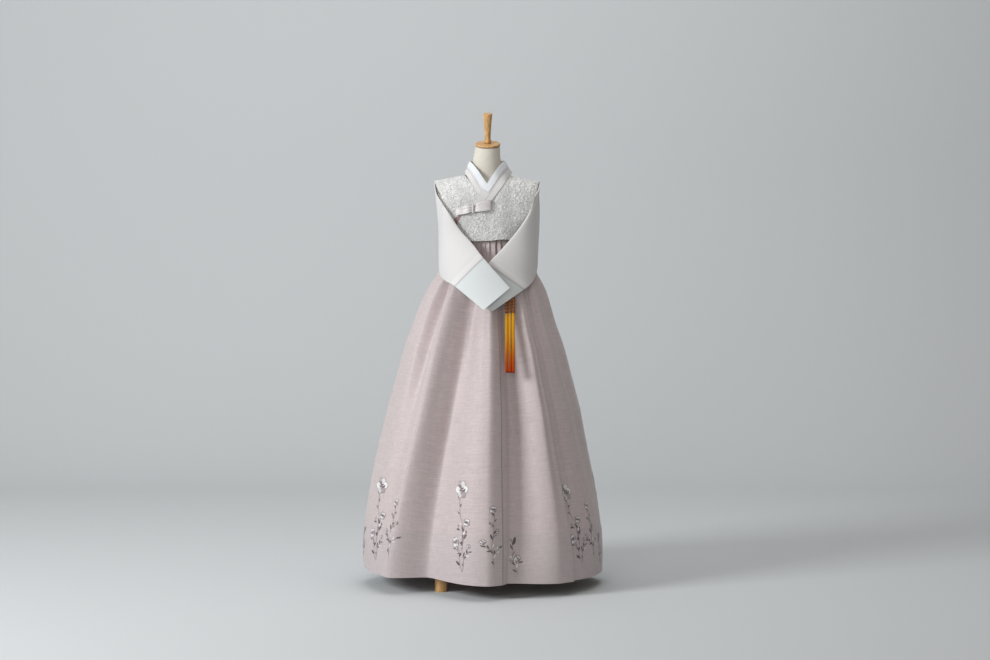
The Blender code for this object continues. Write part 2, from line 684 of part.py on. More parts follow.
def collar_grid(places):
    """Outer face of the collar band in three columns, lying on the fronts and round the neck."""
    rows = along(np.arange(len(COLLAR_ROWS)), np.array(COLLAR_ROWS), places)
    across = np.array([0, 0.5, 1])[:, None]
    grid = rows[:, None, 0:3] * (1 - across) + rows[:, None, 3:6] * across
    x, y, z = np.moveaxis(grid, -1, 0)
    over = np.clip(rows[:, 6], 0, 1)[:, None]
    surface = bodice_y(x, z, True) - over * outer_ramp(x)
    front = y < -0.030
    lying = front & (z < shoulder_z(x))
    y = np.where(lying, np.minimum(y, surface), y) - GIT_LIFT * front
    away = unit(np.stack([x, y, 0 * z], axis=-1)) * GIT_LIFT
    return np.stack([x, y, z], axis=-1) + np.where(front[..., None], 0, away)


def build_collar():
    grid = collar_grid(np.arange(0, len(COLLAR_ROWS) - 1 + COLLAR_STEP / 2, COLLAR_STEP))
    normals = facing_of(grid)
    normals *= np.sign(np.sum(normals * grid * (1, 1, 0)))
    wall_between("git", grid, grid - normals * COLLAR_WALL, "ivory_silk")

    first, last = (round(place / COLLAR_STEP) for place in DONGJEONG_ENDS)
    band = slice(first, last + 1)
    share = np.array([0.02, DONGJEONG_SHARE * 2])[:, None]
    strip, out = (
        values[band, 0:1] * (1 - share) + values[band, 1:2] * share for values in (grid, normals)
    )
    face = strip + out * (COLLAR_GAP + COLLAR_WALL)
    wall_between("dongjeong", face, strip + out * COLLAR_GAP, "white_cotton")


# ---------------------------------------------------------------- bow


def bow_back(x, z):
    """Depth just in front of the layers that the bow lies on."""
    layers = (OUTER_LIFT + GIT_LIFT) * (1 - ease(0.056, 0.085, -x))
    return bodice_y(x, z, True) - layers - BOW_CLEAR


def ribbon_loop(name, rows):
    """Flat loop of ribbon lying on the front."""
    rows = np.array(rows)
    fine = along(np.arange(len(rows)), rows, np.linspace(0, len(rows) - 1, 15))
    x = BOW_MIDDLE[0] + fine[:, 0]
    middle = BOW_MIDDLE[1] + fine[:, 2]
    z = middle[:, None] + fine[:, 3:4] * np.array([-1, 1])
    x = np.stack([x, x], axis=1)
    y = bow_back(x, z) - fine[:, 1:2]
    grid = np.stack([x, y, z], axis=-1)
    half = facing_of(grid) * RIBBON / 2
    wall_between(name, grid + half, grid - half, "dusty_pink_ribbon")


def build_bow():
    x, z = BOW_MIDDLE
    back = bow_back(np.array(x), np.array(z))
    angles = np.linspace(0, 2 * math.pi, 12, endpoint=False)
    rings = []
    for share, size in ((-1, 0.80), (-0.6, 1.0), (0.6, 1.0), (1, 0.80)):
        ring_x = x + size * KNOT_HALF_WIDTH * np.sin(angles)
        ring_y = back - KNOT_HALF_DEPTH - size * KNOT_HALF_DEPTH * np.cos(angles)
        ring_z = np.full(len(angles), z + share * KNOT_HALF_HEIGHT)
        rings.append(np.stack([ring_x, ring_y, ring_z], axis=1))
    loft("goreum_knot", rings, "dusty_pink_ribbon")
    ribbon_loop("goreum_loop_right", LOOP_RIGHT)
    ribbon_loop("goreum_loop_left", LOOP_LEFT)

    fine = along(np.arange(len(TAIL)), np.array(TAIL), np.linspace(0, len(TAIL) - 1, 9))
    across = np.array([-1.0, 0.0, 1.0])
    x = fine[:, 0:1] + fine[:, 2:3] * across
    z = fine[:, 1:2] + 0.25 * fine[:, 2:3] * across
    y = bodice_y(x, z, True) - 0.0020
    sheet("goreum_tail", np.stack([x, y, z], axis=-1), (0, -1, 0), "dusty_pink_ribbon", RIBBON)


# ---------------------------------------------------------------- pendant


def build_norigae():
    curve = bpy.data.curves.new("norigae_cord", "CURVE")
    curve.dimensions = "3D"
    curve.bevel_depth = CORD_RADIUS
    curve.bevel_resolution = 2
    curve.use_fill_caps = True
    route = read_route(CORD_ROUTE, np.linspace(0, 1, 36)) + PLACE
    line = curve.splines.new("POLY")
    line.points.add(len(route) - 1)
    line.points.foreach_set("co", np.column_stack([route, np.ones(len(route))]).ravel())
    curve.materials.append(finish("norigae_cord_silk"))
    cord = bpy.data.objects.new("norigae_cord", curve)
    bpy.context.scene.collection.objects.link(cord)

    top = np.array(TASSEL_TOP)
    foot = np.array(TASSEL_FOOT)
    down = unit(foot - top)
    front = np.array([0, down[2], -down[1]])
    angles = np.linspace(0, 2 * math.pi, 12, endpoint=False)
    length = np.linalg.norm(foot - top)
    head_profile = [
        # distance down, half width, half depth
        (0.0000, 0.0026, 0.0024),
        (0.0030, 0.0052, 0.0046),
        (0.0200, 0.0052, 0.0048),
        (TASSEL_HEAD - 0.002, 0.0048, 0.0044),
    ]
    fringe_profile = [
        (TASSEL_HEAD, 0.0046, 0.0042),
        (TASSEL_HEAD + 0.020, 0.0055, 0.0050),
        (length - 0.04, 0.0057, 0.0054),
        (length, 0.0057, 0.0050),
    ]
    for number in range(TASSEL_COUNT):
        side = (number - (TASSEL_COUNT - 1) / 2) * TASSEL_PITCH
        for part, slot, profile in (
            ("head", "norigae_bead_thread", head_profile),
            ("fringe", "norigae_fringe_silk", fringe_profile),
        ):
            rings = []
            for distance, wide, deep in profile:
                middle = top + down * distance + np.array([side, 0, 0])
                ring = middle + wide * np.sin(angles)[:, None] * np.array([1, 0, 0])
                rings.append(ring - deep * np.cos(angles)[:, None] * front)
            loft(f"norigae_{part}_{number + 1}", rings, slot)


# ---------------------------------------------------------------- dress form and stand


def build_form():
    sections = np.array(FORM_SECTIONS)
    angles = np.linspace(0, 2 * math.pi, 28, endpoint=False)
    rings = []
    for height, width, front, back in sections:
        depth = np.where(np.cos(angles) > 0, front, back)
        x = FORM_MIDDLE + width * np.sin(angles)
        y = -depth * np.cos(angles)
        rings.append(np.stack([x, y, np.full(len(angles), height)], axis=1))
    rings[-1][:, 0] += NECK_MIDDLE - FORM_MIDDLE
    rings[-1][:, 2] += np.sin(NECK_TILT) * rings[-1][:, 1]
    loft("form_torso", rings, "form_linen")

    seat = (NECK_MIDDLE, 0.0, 1.5905)
    cap = [(0.041, 0.0), (0.045, 0.0015), (NECK_CAP_RADIUS, 0.004), (0.0452, 0.0068), (0.041, 0.0085)]
    turned("form_neck_cap", cap, "maple_wood", 28, seat, NECK_TILT)
    finial = [
        # radius, height
        (0.0100, 0.0088), (0.0130, 0.0108), (0.0141, 0.0150), (0.0128, 0.0203), (0.0104, 0.0226),
        (0.0104, 0.0300), (0.0136, 0.0800), (0.0170, FINIAL_HEIGHT - 0.0028),
        (0.0158, FINIAL_HEIGHT),
    ]
    turned("form_finial", finial, "maple_wood", 20, seat, NECK_TILT)


def build_stand():
    pole = [(POLE_RADIUS, ARM_HEIGHT + 0.0265), (POLE_RADIUS, FORM_SECTIONS[0][0] - 0.0004)]
    turned("stand_pole", pole, "maple_wood", 20, (FORM_MIDDLE, 0, 0))
    hub = [
        # radius, height
        (HUB_RADIUS - 0.004, ARM_HEIGHT - 0.026), (HUB_RADIUS, ARM_HEIGHT - 0.022),
        (HUB_RADIUS, ARM_HEIGHT + 0.022), (HUB_RADIUS - 0.004, ARM_HEIGHT + 0.026),
    ]
    turned("stand_hub", hub, "maple_wood", 24, (FORM_MIDDLE, 0, 0))
    arm = [
        # distance out, radius
        (HUB_RADIUS + 0.0010, ARM_RADIUS - 0.002), (HUB_RADIUS + 0.02, ARM_RADIUS),
        (FOOT_REACH * 0.55, ARM_RADIUS + 0.002), (FOOT_REACH - FOOT_RADIUS - 0.02, ARM_RADIUS),
        (FOOT_REACH - FOOT_RADIUS - 0.0010, ARM_RADIUS - 0.002),
    ]
    foot = [
        # radius, height
        (FOOT_RADIUS - 0.002, 0.0), (FOOT_RADIUS, 0.002), (FOOT_RADIUS + 0.001, ARM_HEIGHT),
        (FOOT_RADIUS - 0.003, ARM_HEIGHT + 0.020), (FOOT_RADIUS - 0.008, ARM_HEIGHT + 0.026),
    ]
    angles = np.linspace(0, 2 * math.pi, 12, endpoint=False)[:, None]
    for number, degrees in enumerate(FOOT_ANGLES, 1):
        turn = math.radians(degrees)
        out = np.array([math.sin(turn), -math.cos(turn), 0])
        side = np.array([math.cos(turn), math.sin(turn), 0])
        up = np.array([0, 0, 1])
        axis = np.array([FORM_MIDDLE, 0, ARM_HEIGHT])
        rings = [
            axis + out * distance + radius * (np.cos(angles) * side + np.sin(angles) * up)
            for distance, radius in arm
        ]
        loft(f"stand_arm_{number}", rings, "maple_wood")
        place = np.array([FORM_MIDDLE, 0, 0]) + out * FOOT_REACH
        turned(f"stand_foot_{number}", foot, "maple_wood", 20, place)


# ---------------------------------------------------------------- whole part


def main():
    for item in list(bpy.data.objects):
        bpy.data.objects.remove(item, do_unlink=True)
    build_stand()
    build_form()
    build_chima()
    build_bodice()
    build_sleeve(-1, SLEEVE_RIGHT, "sleeve_right", "cuff_right")
    build_sleeve(1, SLEEVE_LEFT, "sleeve_left", "cuff_left")
    build_collar()
    build_bow()
    build_norigae()


main()
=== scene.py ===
"""Korean hanbok on a limbless dress form: the finished cloth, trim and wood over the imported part.

Metres, +Z up, the garment faces -Y. Every cloth piece is a thin closed wall between two grids of
points. A grid is a function of two parameters: how far down the cloth, and how far across it.
"""

import math

import bpy
import numpy as np
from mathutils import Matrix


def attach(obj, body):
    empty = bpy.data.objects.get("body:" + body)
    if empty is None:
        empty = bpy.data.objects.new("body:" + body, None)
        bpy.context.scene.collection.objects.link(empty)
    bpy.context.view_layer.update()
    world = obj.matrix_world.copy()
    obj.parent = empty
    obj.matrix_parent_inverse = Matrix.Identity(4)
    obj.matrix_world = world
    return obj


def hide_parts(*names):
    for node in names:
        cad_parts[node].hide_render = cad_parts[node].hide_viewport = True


bl_info = {
    "name": "Korean Hanbok",
    "version": (1, 0, 0),
    "blender": (4, 5, 0),
    "location": "View3D > Sidebar > Hanbok",
    "description": "Builds a hanbok of silk and lace on a dress form",
    "category": "Object",
}

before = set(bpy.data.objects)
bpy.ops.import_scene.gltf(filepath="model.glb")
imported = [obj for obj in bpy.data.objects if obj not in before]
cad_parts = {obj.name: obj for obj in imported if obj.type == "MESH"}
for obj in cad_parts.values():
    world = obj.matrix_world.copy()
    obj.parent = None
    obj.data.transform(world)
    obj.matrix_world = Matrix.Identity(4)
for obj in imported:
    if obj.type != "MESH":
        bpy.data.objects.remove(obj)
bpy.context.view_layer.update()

# ---------------------------------------------------------------- sizes shared with the solids

PLACE = (0.0104, 0.0019, 0.0)  # from the dress form's axis to the middle of the part
SEAM = 0.0003
CLOTH = 0.0012
FORM_MIDDLE = 0.0035

CHIMA_TOP = 1.345
CHIMA_HEM = 0.0535
HEM_TILT = 0.0075
BAND_TOP = 1.378
BAND_MIDDLE = 0.002
BAND_HALF_WIDTH = 0.140
BAND_FRONT = 0.113
BAND_BACK = 0.0915
BAND = 0.0024
PLEAT_DEPTH = 0.005
PLEAT_STEPS = 3
WRAP_STEPS = 3
WRAP_LIFT = 0.004

# Rings of the skirt without its folds.
SKIRT_RINGS = [
    # height, middle x, half width, front depth, back depth
    (0.050, -0.0105, 0.4370, 0.4330, 0.4300),
    (0.141, -0.0110, 0.4390, 0.4340, 0.4310),
    (0.287, -0.0110, 0.4235, 0.4170, 0.4150),
    (0.403, -0.0110, 0.4030, 0.3960, 0.3930),
    (0.520, -0.0100, 0.3784, 0.3700, 0.3660),
    (0.636, -0.0070, 0.3524, 0.3420, 0.3380),
    (0.753, -0.0070, 0.3210, 0.3080, 0.3040),
    (0.869, -0.0060, 0.2888, 0.2700, 0.2650),
    (0.956, -0.0060, 0.2577, 0.2360, 0.2310),
    (1.014, -0.0030, 0.2380, 0.2080, 0.2060),
    (1.073, 0.0010, 0.2130, 0.1830, 0.1800),
    (1.130, 0.0040, 0.1790, 0.1610, 0.1520),
    (1.190, 0.0040, 0.1560, 0.1410, 0.1200),
    (1.250, 0.0030, 0.1460, 0.1260, 0.0890),
    (1.300, 0.0025, 0.1420, 0.1180, 0.0880),
    (1.345, 0.0020, 0.1390, 0.1120, 0.0900),
]

# Every line that the skirt folds or is seamed along, round from the centre back.
FOLD_LINES = [
    # angle at waist, half way, at hem, out below the hips, half way, at hem, crisp, steps
    (-180, -180, -180, 0.000, 0.000, 0.005, 0.0, 6),
    (-162, -162, -163, -0.034, -0.050, -0.055, 0.0, 6),
    (-141, -142, -144, 0.000, 0.006, 0.012, 0.1, 6),
    (-118, -120, -122, -0.014, -0.018, -0.020, 0.9, 5),
    (-102, -103, -105, -0.028, -0.040, -0.046, 0.0, 5),
    (-82, -84, -87, 0.000, 0.000, 0.000, 0.0, 5),
    (-61, -58, -68, -0.002, 0.000, 0.002, 0.3, 3),
    (-54, -49.5, -60, -0.040, -0.020, -0.004, 0.3, 4),
    (-37, -39, -49.5, 0.002, 0.006, 0.010, 0.3, 6),
    (-8, -23.5, -34, -0.062, -0.090, -0.094, 0.1, 8),
    (6, 3.5, 2, 0.000, 0.004, 0.010, 0.15, 3),
    (15, 11.3, 9.9, -0.021, -0.020, -0.017, 1.0, 3),
    (22, 20, 13.5, -0.050, -0.080, -0.050, 0.0, 3),
    (33, 35, 37.5, 0.002, 0.008, 0.012, 0.5, 3),
    (39, 40, 46, 0.000, 0.006, 0.010, 0.3, 1),
    (42, 42.5, 48.5, -0.012, -0.010, -0.004, 0.7, 6),
    (62, 60, 68, -0.004, -0.002, 0.002, 0.4, 7),
    (85, 86, 89, 0.000, 0.000, 0.000, 0.0, 6),
    (104, 105, 107, -0.030, -0.042, -0.048, 0.0, 5),
    (122, 123, 125, -0.012, -0.015, -0.018, 0.9, 6),
    (142, 143, 144, 0.000, 0.008, 0.014, 0.1, 5),
    (161, 162, 163, -0.036, -0.050, -0.055, 0.0, 6),
]
TOTAL_STEPS = sum(row[7] for row in FOLD_LINES)

PANELS = [
    # name, column of its first seam, column of its last, how dark the shadow of each seam is
    ("back_left", 0, 18, 0.30, 0.22),
    ("side_left", 18, 40, 0.22, 0.05),
    ("front_left", 40, 57, 0.05, 0.62),
    ("front", 57, 73, 0.62, 0.08),
    ("side_right", 73, 91, 0.08, 0.22),
    ("back_right", 91, TOTAL_STEPS + WRAP_STEPS, 0.22, 0.40),
]

# Soft troughs (plus) and ridges (minus) that the silk has besides its folds.
SOFT_CREASES = [
    # column at the waist, at the hem, from share, to share, half width in columns, depth
    (48.8, 47.0, 0.02, 0.55, 1.8, 0.0150),
    (30, 31, 0.30, 1.10, 1.5, 0.0050),
    (35.2, 35.5, -0.10, 0.62, 1.2, 0.0100),
    (43, 42, 0.20, 0.75, 0.9, 0.0035),
    (48, 50, 0.22, 0.70, 1.1, 0.0045),
    (50, 52, 0.50, 1.10, 1.3, -0.0035),
    (53, 53.5, 0.10, 0.60, 0.8, 0.0030),
    (58.5, 58, 0.25, 0.80, 0.6, 0.0030),
    (64.8, 64.5, 0.30, 0.90, 0.6, 0.0030),
    (69.4, 69, -0.10, 0.90, 0.9, 0.0090),
    (71.5, 72, -0.05, 1.10, 0.8, -0.0045),
    (75.5, 75, -0.10, 0.85, 1.3, 0.0080),
    (79, 80, 0.40, 1.10, 1.2, 0.0040),
    (83, 82, 0.10, 0.70, 1.0, -0.0035),
    (94, 95, 0.20, 0.90, 1.2, 0.0045),
    (100, 99, 0.30, 1.10, 1.1, 0.0040),
    (105, 106, 0.15, 0.75, 1.0, 0.0040),
    (3, 4, 0.20, 0.85, 1.2, 0.0040),
    (9, 8, 0.35, 1.10, 1.3, 0.0045),
    (14, 15, 0.15, 0.80, 1.1, -0.0035),
    (21, 20, 0.20, 1.10, 1.2, 0.0045),
    (25, 26, 0.30, 0.90, 1.1, -0.0035),
]
CREASE_SWELL = 0.25  # share of the skirt's length over which a crease swells or dies away
CREASE_DEPTH = 0.005  # the setting at which the creases have the depths above
CLOTH_WAVE = 0.0016  # how far the silk's slow unevenness reaches
PRESS_LINES = (0.636, 0.512)  # heights of two pressed creases that run round the skirt
PRESS_DEPTH = 0.0009
PRESS_HALF = 0.004
HEM_TURNED_UP = 0.2285  # height of the line of stitching above the hem
SEAM_DEPTH = 0.0010
SEAM_HALF = 0.0035  # half width of the groove along a seam
SEAM_SHADE_HALF = 0.0022  # half width of its dark line
FOLDS_START = 0.2  # share of the length above which the folds keep the form they have there
FOLD_KNOTS = (0.25, 0.55, 1)  # shares of the length that the folds' depths are given at
ANGLE_KNOTS = (0, 0.5, 1)  # and their angles
SKIRT_FINE = 4  # columns of the cloth to one column of the table
SKIRT_FINE_ROWS = 150
SKIRT_ROW_CROWDING = 0.92  # under 1, the rows lie closer together at the foot
BAND_COLUMNS = 144
BAND_ROWS = 10

SHOULDER_PEAK = 1.4995  # where the two shoulder lines would meet over the neck
SHOULDER_SLOPE = 0.20
SHOULDER_ROUND = 0.09  # drop over which the shoulder rounds into the chest
OUTER_LIFT = 0.0058  # the outer front lies this far over the under front
GIT_LIFT = 0.0027  # from the front to the collar band's outer face
COLLAR_WALL = 0.0011
COLLAR_GAP = 0.0008
DONGJEONG_SHARE = 0.47  # of the collar band's width
COLLAR_STEPS = 8  # rows of the collar to half a row of its table
STRIP_COLUMNS = 12
COLLAR_COLUMNS = 21
COLLAR_FRONT = -0.030  # before this y the collar lies on the fronts
COLLAR_LINES = ((0.60, 0.012), (0.965, 0.02))  # share across and half width of its stitched lines
COLLAR_LINE_DEPTH = 0.0004
STRIP_CROWN = 0.0006
LACE_ROWS = 90
LACE_COLUMNS = 72
LACE_ROW_CROWDING = 1.6  # over 1, the rows lie closer together at the shoulder
LACE_WAVE = 0.0009  # how far the lace's unevenness reaches
BACK_HEM = 1.2500
SHOULDER_END = 1.4615  # height of the shoulder seam's outer end
ARMHOLE_TOP = 1.4608
ARMHOLE_FOOT = 1.2600
ARMHOLE_GAP = 5 * SEAM

# Level sections of the lace bodice. The edge depth is half the depth of the armhole.
BODICE_SECTIONS = [
    # height, middle x, half width, front depth, back depth, edge depth
    (1.2400, 0.0030, 0.1595, 0.1395, 0.1030, 0.0003),
    (1.2475, 0.0030, 0.1600, 0.1380, 0.1030, 0.0004),
    (1.2720, 0.0030, 0.1630, 0.1340, 0.1020, 0.0040),
    (1.3200, 0.0035, 0.1660, 0.1280, 0.1010, 0.0500),
    (1.3800, 0.0040, 0.1735, 0.1170, 0.0970, 0.0640),
    (1.4300, 0.0042, 0.1815, 0.1060, 0.0900, 0.0520),
    (1.4625, 0.0045, 0.1905, 0.0980, 0.0850, 0.0300),
    (1.5000, 0.0045, 0.1960, 0.0900, 0.0800, 0.0100),
]

# Seams and free edges of the bodice pieces, from the neck down, as x and z.
OUTER_FRONT_EDGE = [(0.083, 1.4825), (0.059, 1.4500), (0.018, 1.4020), (-0.014, 1.3720),
                    (-0.049, 1.3500), (-0.054, 1.3000), (-0.060, 1.2485)]
UNDER_FRONT_EDGE = [(-0.076, 1.4840), (-0.051, 1.4500), (-0.016, 1.4080), (0.016, 1.3720),
                    (0.045, 1.3400), (0.050, 1.3000), (0.052, 1.2540)]
BACK_EDGE = [(0.0740, 1.4840), (0.0560, 1.4740), (0.0000, 1.4700), (0.0000, 1.2500)]
OUTER_HEM = [(-0.060, 1.2485), (-0.045, 1.2465), (0.020, 1.2485), (0.048, 1.2530), (0.163, 1.2500)]
UNDER_HEM = [(0.052, 1.2540), (-0.020, 1.2540), (-0.080, 1.2520), (-0.157, 1.2500)]

# The collar band, from its hidden end under the outer front, round the neck, to the bow.
COLLAR_ROWS = [
    # upper edge x, y, z, lower edge x, y, z, over the outer front (0 or 1)
    (0.060, -0.080, 1.378, 0.028, -0.080, 1.340, 0),
    (0.032, -0.080, 1.412, -0.004, -0.080, 1.378, 0),
    (0.004, -0.080, 1.4525, -0.034, -0.080, 1.4200, 0),
    (-0.024, -0.064, 1.4950, -0.060, -0.060, 1.4650, 0),
    (-0.052, -0.022, 1.5310, -0.0755, -0.012, 1.4910, 0),
    (-0.045, 0.032, 1.5330, -0.061, 0.050, 1.4780, 0),
    (0.003, 0.063, 1.5230, 0.0035, 0.080, 1.4660, 0),
    (0.053, 0.032, 1.5340, 0.070, 0.050, 1.4790, 1),
    (0.061, -0.022, 1.5335, 0.0930, -0.012, 1.4920, 1),
    (0.035, -0.064, 1.4990, 0.070, -0.060, 1.4580, 1),
    (0.004, -0.080, 1.4525, 0.044, -0.080, 1.4220, 1),
    (-0.021, -0.080, 1.4160, 0.018, -0.080, 1.3870, 1),
    (-0.046, -0.080, 1.3810, -0.008, -0.080, 1.3530, 1),
]
DONGJEONG_ENDS = (1.5, 10.5)  # rows of the table between which the white strip runs

# A sleeve's sections from near the armhole to the cuff's seam, then the cuff's end.
SLEEVE_RIGHT = [
    # top x, y, z, bottom x, y, z, facing, bulge, hollow
    (-0.1820, -0.050, 1.432, -0.1640, 0.006, 1.243, -180, 0.000, 0.094),
    (-0.1725, -0.085, 1.403, -0.1620, 0.000, 1.210, -168, 0.002, 0.058),
    (-0.1370, -0.125, 1.350, -0.1630, -0.036, 1.158, -100, 0.004, 0.026),
    (-0.0925, -0.142, 1.287, -0.1610, -0.092, 1.121, -62, 0.016, 0.018),
    (-0.0480, -0.168, 1.239, -0.1420, -0.150, 1.104, -38, 0.014, 0.013),
    (-0.0072, -0.199, 1.188, -0.1095, -0.194, 1.087, -14, 0.006, 0.011),
    (0.0860, -0.224, 1.084, -0.0080, -0.246, 1.006, 0, 0.002, 0.011),
]
SLEEVE_LEFT = [
    # the same columns
    (0.1925, -0.050, 1.436, 0.1720, 0.006, 1.243, 180, 0.000, 0.094),
    (0.1810, -0.085, 1.408, 0.1730, 0.000, 1.212, 152, 0.007, 0.060),
    (0.1590, -0.117, 1.350, 0.1805, -0.036, 1.160, 100, 0.004, 0.026),
    (0.1140, -0.138, 1.284, 0.1775, -0.082, 1.122, 62, 0.016, 0.018),
    (0.0600, -0.156, 1.221, 0.1640, -0.134, 1.098, 38, 0.010, 0.013),
    (0.0056, -0.181, 1.165, 0.1362, -0.166, 1.0745, 14, 0.004, 0.011),
    (-0.0730, -0.2030, 1.067, 0.0241, -0.226, 1.000, 0, 0.002, 0.011),
]
SLEEVE_TURNS = 96
SLEEVE_ROWS = 96
CUFF_ROWS = 30
SLEEVE_WAVE = 0.0012
SLEEVE_BAND = (0.023, 0.027)  # from the cuff's seam, where the doubled edge of the sleeve ends

BOW_MIDDLE = (-0.0457, 1.3640)
BOW_CLEAR = 0.0011
RIBBON = 0.0010
KNOT_HALF_WIDTH = 0.0034
KNOT_HALF_DEPTH = 0.0066
KNOT_HALF_HEIGHT = 0.0168
LOOP_RIGHT = [
    # along x, forward, up, half width
    (0.0042, 0.0040, 0.0000, 0.0110),
    (0.0200, 0.0120, 0.0045, 0.0160),
    (0.0470, 0.0125, 0.0100, 0.0180),
    (0.0640, 0.0070, 0.0125, 0.0175),
    (0.0550, 0.0012, 0.0110, 0.0170),
    (0.0220, 0.0002, 0.0045, 0.0150),
    (0.0042, 0.0004, 0.0000, 0.0100),
]
LOOP_LEFT = [
    # the same columns
    (-0.0042, 0.0040, 0.0000, 0.0110),
    (-0.0200, 0.0110, -0.0030, 0.0140),
    (-0.0440, 0.0115, -0.0090, 0.0130),
    (-0.0610, 0.0065, -0.0135, 0.0115),
    (-0.0520, 0.0012, -0.0120, 0.0115),
    (-0.0220, 0.0002, -0.0030, 0.0130),
    (-0.0042, 0.0004, 0.0000, 0.0100),
]
LOOP_ROWS = 97
LOOP_COLUMNS = 17
LOOP_FRONT = 0.003  # further forward than this, the ribbon is in the loop's front run
GATHER_DEPTH = 0.0016
GATHER_REACH = 0.022  # how far from the knot the gathers fade
LOOP_WAVE = 0.0007
TAIL_ROWS = 40
TAIL_COLUMNS = 13
TAIL_CLEAR = 0.0020
TAIL_WAVE = 0.0006
TAIL = [
    # x, z, half width
    (-0.0960, 1.3360, 0.0080),
    (-0.1040, 1.3280, 0.0085),
    (-0.1090, 1.3150, 0.0085),
    (-0.1120, 1.3000, 0.0090),
    (-0.1140, 1.2850, 0.0090),
]

CORD_RADIUS = 0.0015
CORD_ROUTE = [
    # x, y, z
    (0.1120, -0.0990, 1.272),
    (0.1120, -0.1070, 1.245),
    (0.1080, -0.1180, 1.200),
    (0.1020, -0.1330, 1.150),
    (0.0940, -0.1490, 1.105),
    (0.0880, -0.1660, 1.072),
    (0.0860, -0.1770, 1.0505),
]
TASSEL_TOP = (0.0860, -0.1775, 1.0480)
TASSEL_FOOT = (0.0860, -0.2900, 0.7890)
TASSEL_HEAD = 0.062  # length of the wound head, and the fringe has the rest
TASSEL_PITCH = 0.0118  # between the middles of neighbouring tassels
TASSEL_TURNS = 40
HEAD_RADIUS = 0.0051
HEAD_BANDS = 10  # wound rows, by turns orange and purple
HEAD_BAND_ROWS = 14
HEAD_GAP = 0.0012  # from the head to its fringe
FRINGE_HALF = 0.0046
FRINGE_SPREAD = 0.0011
FRINGE_ROWS = 80
FRINGE_WAVE = 0.0007
FRINGE_RAGGED = 0.0016

# Level sections of the covered dress form.
FORM_SECTIONS = [
    # height, half width, front depth, back depth
    (0.848, 0.136, 0.100, 0.096),
    (0.856, 0.146, 0.108, 0.104),
    (0.920, 0.150, 0.110, 0.108),
    (1.020, 0.127, 0.096, 0.090),
    (1.110, 0.110, 0.086, 0.074),
    (1.200, 0.116, 0.094, 0.076),
    (1.310, 0.127, 0.100, 0.082),
    (1.385, 0.131, 0.094, 0.080),
    (1.410, 0.148, 0.090, 0.078),
    (1.432, 0.158, 0.080, 0.072),
    (1.452, 0.146, 0.068, 0.062),
    (1.466, 0.098, 0.055, 0.053),
    (1.484, 0.064, 0.0530, 0.0530),
    (1.510, 0.0560, 0.0515, 0.0510),
    (1.545, 0.0490, 0.0480, 0.0470),
    (1.5885, 0.0440, 0.0440, 0.0440),
]
NECK_MIDDLE = 0.0065
NECK_TILT = math.radians(14.5)
NECK_BEND = (1.545, 1.5885)  # heights between which the neck leans to its cap's tilt
SEAT = (NECK_MIDDLE, 0.0, 1.5905)  # middle of the cap's underside
FORM_ROUND = (0.848, 0.856, 4)  # heights of the rounded foot, and its rows
FORM_RISE = (0.86, 1.5885, 90)  # heights above it, and their rows
FORM_TURNS = 96
# Turned profiles, each a row of radius and height.
CAP_PROFILE = [(0.0395, 0.0000), (0.0435, 0.0004), (0.0455, 0.0018), (0.0460, 0.0040),
               (0.0456, 0.0060), (0.0440, 0.0078), (0.0405, 0.0085)]
FINIAL_PROFILE = [(0.0100, 0.0088), (0.0122, 0.0096), (0.0135, 0.0120), (0.0141, 0.0150),
                  (0.0138, 0.0182), (0.0124, 0.0206), (0.0108, 0.0216), (0.0104, 0.0226),
                  (0.0104, 0.0300), (0.0112, 0.0450), (0.0136, 0.0800), (0.0162, 0.1100),
                  (0.0170, 0.1152), (0.0168, 0.1168), (0.0158, 0.1180)]
POLE_RADIUS = 0.017
HUB_RADIUS = 0.036
FOOT_RADIUS = 0.022
ARM_RADIUS = 0.014
ARM_HEIGHT = 0.096
FOOT_REACH = 0.282
FOOT_ANGLES = (-35.3, 84.7, 204.7)  # degrees from -Y towards +X
MAPLE = "maple_wood_satin"

